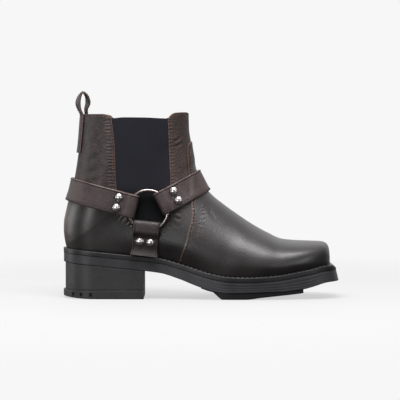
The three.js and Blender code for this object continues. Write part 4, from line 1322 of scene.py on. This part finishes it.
def build_heel():
    """The heel's block, and its top piece with side slots and a lift at its back."""
    start = LAST_HEEL - LEDGE_HEEL
    breast = start + HEEL_LENGTH
    points, faces = sole_layer(
        start + HEEL_INSET, breast, lambda x: under_z(x) - GAP, lambda x: TOPLIFT_HEIGHT + 0 * x,
        LEDGE_SIDE - HEEL_FLUSH, LEDGE_HEEL - HEEL_INSET, LEDGE_TOE, 0.15, side_steps=16,
    )
    make_piece("heel_stack", points, faces, HEEL_RUBBER, ["heel_block"], sharp=50)

    def lift(x):
        return HEEL_LIFT * np.maximum(1 - (x - start) / HEEL_ROCKER, 0) ** 2

    points, faces = sole_layer(
        start, breast, lambda x: TOPLIFT_HEIGHT - GAP + 0 * x, lift,
        LEDGE_SIDE, LEDGE_HEEL, LEDGE_TOE, 0.2, side_steps=8, foot=0.8,
    )
    toplift = make_piece("heel_cap", points, faces, HEEL_RUBBER, ["heel_toplift"], sharp=50)
    places = []
    for at in SLOTS:
        x = start + at * HEEL_LENGTH
        for side in (-1, 1):
            y = float(plan_y(x, side, LEDGE_SIDE, LEDGE_HEEL, LEDGE_TOE))
            places.append((x, y, TOPLIFT_HEIGHT - 1.2 * SLOT_HEIGHT + float(lift(x)) / 2))
    subtract(toplift, *boxes(places, SLOT_WIDTH, 2 * SLOT_DEPTH, SLOT_HEIGHT, [0] * len(places)))


build_welt()
build_insole()
build_outsole()
build_heel()


# Harness: rings, straps and rivets

RING_X = LAST_HEEL + LAST_LENGTH * RING_AT
RING_Z = BOOT_HEIGHT * RING_HEIGHT


def ring_frame(name, side):
    """Where a ring is, and the direction in which it faces."""

    def seen(dx, dz):
        return cast((RING_X + dx, side * 2 * BALL_WIDTH, RING_Z + dz), (0, -side, 0))[0]

    along_x = seen(RING_RADIUS, 0) - seen(-RING_RADIUS, 0)
    along_z = seen(0, RING_RADIUS) - seen(0, -RING_RADIUS)
    normal = unit(np.cross(along_z, along_x))
    if normal[1] * side < 0:
        normal = -normal
    middle = middle_of(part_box(f"ring_{name}"))
    return {"name": name, "side": side, "normal": normal, "middle": middle}


RINGS = [ring_frame("lateral", -1), ring_frame("medial", 1)]
RIVET_NAMES = [
    f"rivet_{strap}_{side}_{number}"
    for strap in ("rear", "front", "low") for side in ("lateral", "medial") for number in (1, 2)
]
RIVETS = [middle_of(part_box(name)) for name in RIVET_NAMES]


def strap_frame(ring, slope):
    """Places along a strap from its ring's middle, and the skin's height under them."""
    a = math.radians(slope)
    along = np.array([math.cos(a), 0, math.sin(a)])
    along = unit(along - (along @ ring["normal"]) * ring["normal"])
    sideways = unit(np.cross(ring["normal"], along))

    def place(s, v, h):
        return ring["middle"] + along * s + sideways * v + ring["normal"] * h

    def ground(s, v):
        start = place(s, v, BALL_WIDTH / 2)
        hit, _ = cast(start, -ring["normal"])
        return (hit - ring["middle"]) @ ring["normal"] if hit is not None else -STRAP_THICKNESS

    return place, ground


FOLD_END = 1.45 * RIVET_DISTANCE
WIRE_HALF = RING_WIRE / 2 + GAP
TIP_UNDER = 0.9 * FOLD_END
TIP_OVER = 0.87 * FOLD_END
WELD_ANGLE = -14


def strap_end(ring, slope, width, v):
    """Middle line of a strap's end from its hidden tip round the ring's wire and back."""
    place, ground = strap_frame(ring, slope)
    half = width / 2
    tunnel = math.sqrt((RING_RADIUS - WIRE_HALF) ** 2 - half * half)
    fold = tunnel - STRAP_THICKNESS / 2
    thick = STRAP_THICKNESS

    def low(s):
        return ground(s, v) + GAP + thick / 2

    def double(s):
        return low(s) + thick + 0.15

    over = WIRE_HALF + thick / 2
    wire_end = RING_RADIUS + WIRE_HALF
    below = min(low(fold + 3), -over)
    return [
        place(TIP_UNDER, v, low(TIP_UNDER)),
        place(RIVET_DISTANCE, v, low(RIVET_DISTANCE)),
        place(wire_end + 4, v, min(low(wire_end + 4), -over + 1)),
        place(RING_RADIUS, v, below),
        place(fold + 3, v, below),
        place(fold + 0.7, v, (below * 2 - over) / 3 + 0.8),
        place(fold, v, 0),
        place(fold + 0.7, v, over - 0.9),
        place(fold + 3, v, over),
        place(RING_RADIUS, v, over + 0.1),
        place(wire_end + 1, v, max(over - 0.1, double(wire_end + 1))),
        place(wire_end + 5, v, double(wire_end + 5)),
        place(RIVET_DISTANCE, v, double(RIVET_DISTANCE)),
        place(TIP_OVER, v, double(TIP_OVER)),
    ]


def band_line(slope, v, reach_angles, centre):
    """Middle line of a strap over the skin, in the plane of its own slope."""
    a = math.radians(slope)
    along = np.array([math.cos(a), 0, math.sin(a)])
    across = np.array([-math.sin(a), 0, math.cos(a)])
    origin = np.array([RING_X, 0, RING_Z]) + along * centre + across * v
    line = []
    for angle in reach_angles:
        direction = along * math.cos(angle) + np.array([0, 1, 0]) * math.sin(angle)
        hit, normal = cast(origin + direction * 3 * BALL_WIDTH, -direction)
        flat_normal = unit(normal - (normal @ across) * across * 0.5)
        ease = STRAP_EASE * normal[0] ** 2
        line.append(hit + flat_normal * (GAP + STRAP_THICKNESS / 2 + ease))
    return line


STRAP_COLUMNS = 29
EDGE_COLUMN = 2


def strap_profile(v, half, thickness):
    """Half thickness of a strap across its width, with a creased line near its edges."""
    edge = half - np.abs(v)
    body = thickness / 2 * rounded(edge, 0.9, 2.4)
    rim = 0.1 * bump_line(edge - 1.0, 0.6)
    groove = 0.32 * bump_line(edge - GROOVE_IN, 0.45)
    return body, rim - groove


def thickened(grid, widths, thickness):
    """Both faces of a strap from the grid of its middle."""
    facing = grid_normals(grid)
    body, mark = strap_profile(widths, np.abs(widths).max(), thickness)
    return grid + facing * (body + mark)[None, :, None], grid - facing * body[None, :, None]


def ribbon(lines, widths, count, passes):
    """Both faces of a strap from its middle lines, one for each place across it."""
    grid = np.stack([resample(smooth_line(line, 8), count) for line in lines], axis=1)
    soften(grid, passes)
    soften(grid.swapaxes(0, 1), 3)
    return thickened(grid, widths, STRAP_THICKNESS)


def strap_columns(width):
    turn = np.linspace(-1, 1, STRAP_COLUMNS)
    shares = np.sign(turn) * (0.8 * np.abs(turn) + 0.2 * np.sin(np.pi / 2 * np.abs(turn)))
    return shares * width / 2


FAR_FROM_EDGE = 9.0

# Lines for the straps' stitches, with their outward directions
strap_runs = []


def ribbon_piece(name, top, bottom, widths, replaced, tone=0.0):
    """A strap's closed mesh; the tone is painted shade that darkens all of it."""
    for column in (EDGE_COLUMN, -1 - EDGE_COLUMN):
        strap_runs.append((top[:, column], (top - bottom)[:, column]))
    grid = np.concatenate([top, bottom[:, -2:0:-1]], axis=1)
    points, faces = closed_tube(grid)
    rim = np.abs(widths).max() - np.abs(widths)
    under = np.full(len(widths) - 2, FAR_FROM_EDGE)
    values = {
        "rim": np.tile(np.append(rim, under), len(top)),
        "shade": np.maximum(rivet_shade(points), tone),
    }
    make_piece(name, points, faces, STRAP, replaced, sharp=60, values=values)


def rivet_shade(points):
    """Painted shade on the leather in a ring round each rivet."""
    shade = np.zeros(len(points))
    for middle in RIVETS:
        distance = np.linalg.norm(points - middle, axis=1)
        shade = np.maximum(shade, bump_line(distance - RIVET_DIAMETER / 2 - 0.7, 0.8))
    return shade


def cross_strap(name, slope, centre):
    """A strap from one ring round the boot to the other."""
    widths = strap_columns(STRAP_WIDTH)
    angles = np.linspace(-np.pi / 2 + 0.12, np.pi / 2 - 0.12, 41)
    lines = []
    for v in widths:
        start = strap_end(RINGS[0], slope, STRAP_WIDTH, v)
        finish = strap_end(RINGS[1], slope, STRAP_WIDTH, -v)
        lines.append(start + band_line(slope, v, angles, centre) + finish[::-1])
    top, bottom = ribbon(lines, widths, 420, 24)
    ribbon_piece(f"{name}_piece", *facing_out(top, bottom), widths, [name])


def facing_out(top, bottom):
    """Puts the marked side of a strap outwards."""
    middle = top.shape[0] // 2
    centre = np.array([RING_X, 0, RING_Z])
    if np.linalg.norm(top[middle, 5] - centre) < np.linalg.norm(bottom[middle, 5] - centre):
        return bottom, top
    return top, bottom


LOW_LIFT = 0.8
# painted shade over all of each low strap
LOW_PAINTED_SHADE = 0.45


def low_strap(ring):
    """A strap from a ring down to the welt."""
    widths = strap_columns(LOW_STRAP_WIDTH)
    place, ground = strap_frame(ring, LOW_SLOPE)
    lines = []
    for v in widths:
        line = strap_end(ring, LOW_SLOPE, LOW_STRAP_WIDTH, v)
        for s in (FOLD_END + 4, FOLD_END + 8, FOLD_END + 14):
            widening = LOW_STRAP_FOOT / LOW_STRAP_WIDTH - 1
            spread = v * (1 + widening * rise_from(s, RIVET_DISTANCE, 26))
            point = place(s, spread, ground(s, spread) + GAP + STRAP_THICKNESS / 2)
            floor = seat_z(point[0]) + GAP + LOW_LIFT
            if point[2] < floor:
                last = line[-1]
                part = (last[2] - floor) / max(last[2] - point[2], 1e-6)
                line.append(last + (point - last) * part)
                break
            line.append(point)
        lines.append(line)
    top, bottom = ribbon(lines, widths, 150, 14)
    name = f"strap_low_{ring['name']}"
    ribbon_piece(f"{name}_piece", top, bottom, widths, [name], LOW_PAINTED_SHADE)


def turned(points, normal):
    """Points with their own z axis turned to a direction."""
    turn = np.array(Vector((0, 0, 1)).rotation_difference(Vector(normal)).to_matrix())
    return points @ turn.T


def build_ring(ring):
    """A wire ring with the small swelling of its weld."""
    around = np.linspace(0, 2 * np.pi, 120, endpoint=False)
    turn = np.linspace(0, 2 * np.pi, 24, endpoint=False)
    weld = math.radians(WELD_ANGLE if ring["side"] < 0 else 180 - WELD_ANGLE)
    near = bump_line((around - weld + np.pi) % (2 * np.pi) - np.pi, 0.045)
    radius = RING_WIRE / 2 * (1 + 0.07 * near)[:, None]
    out = RING_RADIUS + radius * np.cos(turn)
    points = np.stack([
        out * np.cos(around)[:, None], out * np.sin(around)[:, None], radius * np.sin(turn),
    ], axis=-1).reshape(-1, 3)
    rows = len(around)
    faces = grid_faces(rows, len(turn), closed=True)
    last = (rows - 1) * len(turn)
    for k in range(len(turn)):
        after = (k + 1) % len(turn)
        faces.append([last + k, last + after, after, k])
    points = turned(points, ring["normal"]) + ring["middle"]
    make_piece(f"ring_{ring['name']}_wire", points, faces, NICKEL, [f"ring_{ring['name']}"])


def build_rivet(ring, name):
    """A low dome standing on the strap, facing as its ring does."""
    radius = RIVET_DIAMETER / 2
    foot = middle_of(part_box(name)) - ring["normal"] * RIVET_HEIGHT / 2
    dome = np.linspace(0, np.pi / 2, 9)
    profile = [(0.0, -0.2), (radius, -0.2), (radius + 0.05, 0.15), (radius - 0.25, 0.45)]
    for a in dome[:-1]:
        profile.append(((radius - 0.35) * math.cos(a), 0.45 + (RIVET_HEIGHT - 0.45) * math.sin(a)))
    profile.append((0.0, RIVET_HEIGHT))
    turn = np.linspace(0, 2 * np.pi, 36, endpoint=False)
    points = [(0.0, 0.0, profile[0][1])]
    for r, h in profile[1:-1]:
        points += [(r * math.cos(a), r * math.sin(a), h) for a in turn]
    points.append((0.0, 0.0, profile[-1][1]))
    rings = len(profile) - 2
    faces = grid_faces(rings, len(turn), closed=True, base=1)
    last = len(points) - 1
    for k in range(len(turn)):
        after = (k + 1) % len(turn)
        faces.append([0, 1 + after, 1 + k])
        faces.append([last, 1 + (rings - 1) * len(turn) + k, 1 + (rings - 1) * len(turn) + after])
    points = turned(np.array(points), ring["normal"]) + foot
    make_piece(f"dome_{name[6:]}", points, faces, DOME, [name], sharp=50)


cross_strap("strap_rear", REAR_SLOPE, FOLD_END + 4)
cross_strap("strap_front", FRONT_SLOPE, FOLD_END - 4)
for ring in RINGS:
    low_strap(ring)
    build_ring(ring)
    for strap in ("rear", "front", "low"):
        for number in (1, 2):
            build_rivet(ring, f"rivet_{strap}_{ring['name']}_{number}")


# The pull loop

LOOP_TWIST = 0.22
BEHIND = -60

# Round the loop: across, share of half its length, and up, share of its height
LOOP_TURN = [(-0.7, 0.2), (-1.0, 0.5), (-0.6, 0.82), (0, 0.96), (0.7, 0.82), (1.0, 0.5), (0.6, 0.2)]


def build_loop():
    """A loop of leather over the collar's back, with a tail outside and one inside."""
    collar = BOOT_HEIGHT * COLLAR["height"][1]
    root = collar + GAP
    back = float(back_x(root))
    centre = back + WALL / 2
    half = LOOP_LENGTH / 2 - LOOP_TAIL
    tail = LOOP_TAIL / 2
    widths = strap_columns(LOOP_WIDTH)
    lines = []
    for v in widths + LOOP_SHIFT:
        twist = (LOOP_SHIFT - v) * LOOP_TWIST
        line = []
        for z in np.linspace(LOOP_LOW, root - 2, 12):
            hit, normal = cast((BEHIND, v, z), (1, 0, 0))
            line.append(hit + normal * (GAP + tail))
        for dx, up in LOOP_TURN:
            x = centre + dx * half + twist * math.sin(math.pi * up) ** 0.7
            line.append(np.array([x, v, collar + up * LOOP_HEIGHT]))
        for z in np.linspace(root - 2, LOOP_INNER, 8):
            hit, normal = cast((BEHIND, v, z), (1, 0, 0))
            line.append(hit - normal * (WALL + GAP + tail))
        lines.append(line)
    grid = np.stack([resample(smooth_line(line, 6), 130) for line in lines], axis=1)
    ribbon_piece("pull_loop_piece", *thickened(grid, widths, LOOP_TAIL), widths, ["pull_loop"])


build_loop()


# Stitches: short rounded threads laid along lines

STITCH_SIDES = 6
STITCH_AHEAD = 0.6
# Along a stitch, share of its length, and its radius, share of half its thickness
STITCH_PROFILE = [(-0.5, 0.25), (-0.42, 0.8), (0.0, 1.0), (0.42, 0.8), (0.5, 0.25)]


def stitches(name, runs, length, pitch, thickness, material):
    """Threads along runs of points with outward directions, joined in one mesh."""
    points, faces = [], []
    for line, ups in runs:
        lengths = lengths_of(line)
        for at in np.arange(pitch / 2, lengths[-1], pitch):
            middle = along_line(line, lengths, at)
            ahead = along_line(line, lengths, min(at + STITCH_AHEAD, lengths[-1]))
            up = unit(along_line(ups, lengths, at))
            along = unit(ahead - middle)
            across = unit(np.cross(up, along))
            up = np.cross(along, across)
            start = len(points)
            for s, r in STITCH_PROFILE:
                for k in range(STITCH_SIDES):
                    angle = 2 * np.pi * k / STITCH_SIDES
                    points.append(
                        middle + along * s * length
                        + (across * math.cos(angle) + up * math.sin(angle)) * r * thickness / 2
                    )
            last = start + (len(STITCH_PROFILE) - 1) * STITCH_SIDES
            faces += grid_faces(len(STITCH_PROFILE), STITCH_SIDES, closed=True, base=start)
            faces.append([start + k for k in range(STITCH_SIDES)][::-1])
            faces.append([last + k for k in range(STITCH_SIDES)])
    make_piece(name, points, faces, material, sharp=60)


def on_side(line, side, lift=0.1):
    """Side-view points laid on the skin of one side."""
    found, ups = [], []
    for x, z in line:
        hit, normal = cast((x, side * 2 * BALL_WIDTH, z), (0, -side, 0))
        if hit is not None:
            found.append(hit + normal * lift)
            ups.append(normal)
    return np.array(found), np.array(ups)


def offset_line(line, distance):
    along = unit(np.gradient(line, axis=0))
    return line + np.stack([-along[:, 1], along[:, 0]], axis=1) * distance


def build_stitches():
    """Rows of stitches beside the elastic, under the collar and along the vamp."""
    runs = []
    for side in (-1, 1):
        gore = resample(gore_edge, 160)
        gore = gore[gore[:, 1] < collar_z(gore[:, 0]) - 4]
        runs.append(on_side(offset_line(gore, -GROOVE_AT), side))
        for start, stop in ((0.1, 0.166), (0.404, 0.455)):
            x = LAST_HEEL + LAST_LENGTH * np.linspace(start, stop, 30)
            runs.append(on_side(np.stack([x, collar_z(x) - GROOVE_AT - 0.2], axis=1), side))
        vamp = resample(vamp_edge[3:], 200)
        vamp = vamp[vamp[:, 1] > seat_z(vamp[:, 0]) + 2]
        runs.append(on_side(offset_line(vamp, FIRST_ROW), side))
        second = vamp[(vamp[:, 1] < 104) & (vamp[:, 1] > 70)]
        runs.append(on_side(offset_line(vamp[vamp[:, 1] > 72], FIRST_ROW + 2.6), side))
        runs.append(on_side(offset_line(second, SECOND_ROW), side))
    stitches("stitches_upper", runs, 2.2, 2.9, 0.7, THREAD)


WELT_STITCH_BACK = 95
WELT_STITCH_INSET = 2.1


def build_welt_stitches():
    """Stitches on the ledge of the welt, from in front of the heel to the toe."""
    x = np.linspace(WELT_STITCH_BACK, LAST_TOE + LEDGE_TOE - 3, 320)[:-1]
    inset = WELT_STITCH_INSET
    runs = []
    for side in (-1, 1):
        y = plan_y(x, side, LEDGE_SIDE - inset, LEDGE_HEEL - inset, LEDGE_TOE - inset)
        line = resample(np.stack([x, y, seat_z(x) + 0.15], axis=1), 400)
        runs.append((line, np.tile([0.0, 0.0, 1.0], (len(line), 1))))
    stitches("stitches_welt", runs, 3.6, 5.2, 1.2, WELT_THREAD)


build_stitches()
build_welt_stitches()
stitches("stitches_straps", strap_runs, 2.1, 3.1, 0.8, STRAP_THREAD)


# Stage: floor, light and camera

# Metres from the middle where the floor fades, and its tones
FLOOR_HALF = 1.2
FLOOR_NEAR = 0.28
FLOOR_FAR = 0.75
FLOOR_COLOUR = 0.14
FLOOR_GLOW = 0.587


def build_floor():
    """A pale floor that fades out into the white behind the boot."""
    mesh = bpy.data.meshes.new("floor")
    corners = [(x * FLOOR_HALF, y * FLOOR_HALF, 0) for x, y in ((-1, -1), (1, -1), (1, 1), (-1, 1))]
    mesh.from_pydata(corners, [], [(0, 1, 2, 3)])
    floor = add_object("floor", mesh)
    s = Surface("floor_paper", 0.9, specular_ior_level=0.1)
    distance = s.add("ShaderNodeVectorMath", operation="LENGTH")
    s.feed(distance.inputs[0], s.place)
    fade = s.span(distance.outputs["Value"], FLOOR_NEAR, FLOOR_FAR, 1.0, 0.0)
    s.feed(s.shader.inputs["Alpha"], fade)
    s.shader.inputs["Base Color"].default_value = (*[FLOOR_COLOUR] * 3, 1)
    s.shader.inputs["Emission Color"].default_value = (1, 1, 1, 1)
    s.shader.inputs["Emission Strength"].default_value = FLOOR_GLOW
    mesh.materials.append(s.material)
    floor.visible_glossy = False
    floor.visible_diffuse = False


WORLD_BASE = 0.10
WORLD_TOP = 0.75
WORLD_BACK = 0.62
WORLD_BELOW = 0.08
BACKDROP = 0.93


def build_world():
    """White behind the boot and above it, darker from the camera's side and below."""
    world = bpy.data.worlds.new("studio")
    bpy.context.scene.world = world
    world.use_nodes = True
    n = Nodes(world.node_tree)
    background = world.node_tree.nodes["Background"]
    direction = n.add("ShaderNodeSeparateXYZ")
    n.feed(direction.inputs[0], n.add("ShaderNodeTexCoord").outputs["Generated"])
    up = n.span(direction.outputs["Z"], 0.1, 0.9, 0.0, WORLD_TOP, "SMOOTHSTEP")
    behind = n.span(direction.outputs["Y"], 0.1, 0.8, 0.0, WORLD_BACK, "SMOOTHSTEP")
    above = n.span(direction.outputs["Z"], -0.12, 0.04, 0.0, 1.0, "SMOOTHSTEP")
    light = n.math("ADD", n.math("ADD", up, behind), WORLD_BASE)
    light = n.math("ADD", n.math("MULTIPLY", light, above), WORLD_BELOW)
    seen = n.add("ShaderNodeMix", data_type="FLOAT")
    n.feed(seen.inputs[0], n.add("ShaderNodeLightPath").outputs["Is Camera Ray"])
    n.feed(seen.inputs[2], light)
    n.feed(seen.inputs[3], BACKDROP)
    background.inputs["Color"].default_value = (1, 1, 1, 1)
    n.feed(background.inputs["Strength"], seen.outputs[0])


def area_light(name, place, target, size, power, colour=(1, 1, 1)):
    light = bpy.data.lights.new(name, "AREA")
    light.shape = "RECTANGLE"
    light.size, light.size_y = size
    light.energy = power
    light.color = colour
    lamp = add_object(name, light)
    lamp.location = place
    lamp.rotation_euler = (Vector(target) - Vector(place)).to_track_quat("-Z", "Y").to_euler()


def build_lights():
    area_light("key", (-0.05, -0.45, 1.15), (0, 0, 0.08), (1.0, 0.5), 25, (0.985, 0.975, 1.0))
    area_light("rear_left", (-1.2, 0.2, 0.2), (-0.05, 0, 0.08), (0.5, 0.5), 3)
    area_light("front_left", (-0.75, -1.15, 0.2), (-0.05, 0, 0.09), (0.7, 0.24), 5.2)
    area_light("front_right", (1.0, -1.2, 0.3), (0, 0, 0.1), (0.6, 0.4), 3.6, (0.93, 0.95, 1.0))


CAMERA_BACK = 2300
CAMERA_HEIGHT = 185
CAMERA_X = 151.44
AIM_Z = 107.6
PIXELS_PER_MM = 0.9
PHOTO_WIDTH = 400


def build_camera():
    camera = bpy.data.cameras.new("camera")
    camera.sensor_width = 36
    camera.lens = camera.sensor_width * CAMERA_BACK * PIXELS_PER_MM / PHOTO_WIDTH
    camera.clip_end = 20
    place = metres([CAMERA_X, -CAMERA_BACK, CAMERA_HEIGHT])
    aim = metres([CAMERA_X, 0, AIM_Z])
    holder = add_object("camera", camera)
    holder.location = place
    holder.rotation_euler = Vector(aim - place).to_track_quat("-Z", "Y").to_euler()
    bpy.context.scene.camera = holder


build_floor()
build_world()
build_lights()
build_camera()
bpy.context.scene.view_settings.view_transform = "Standard"
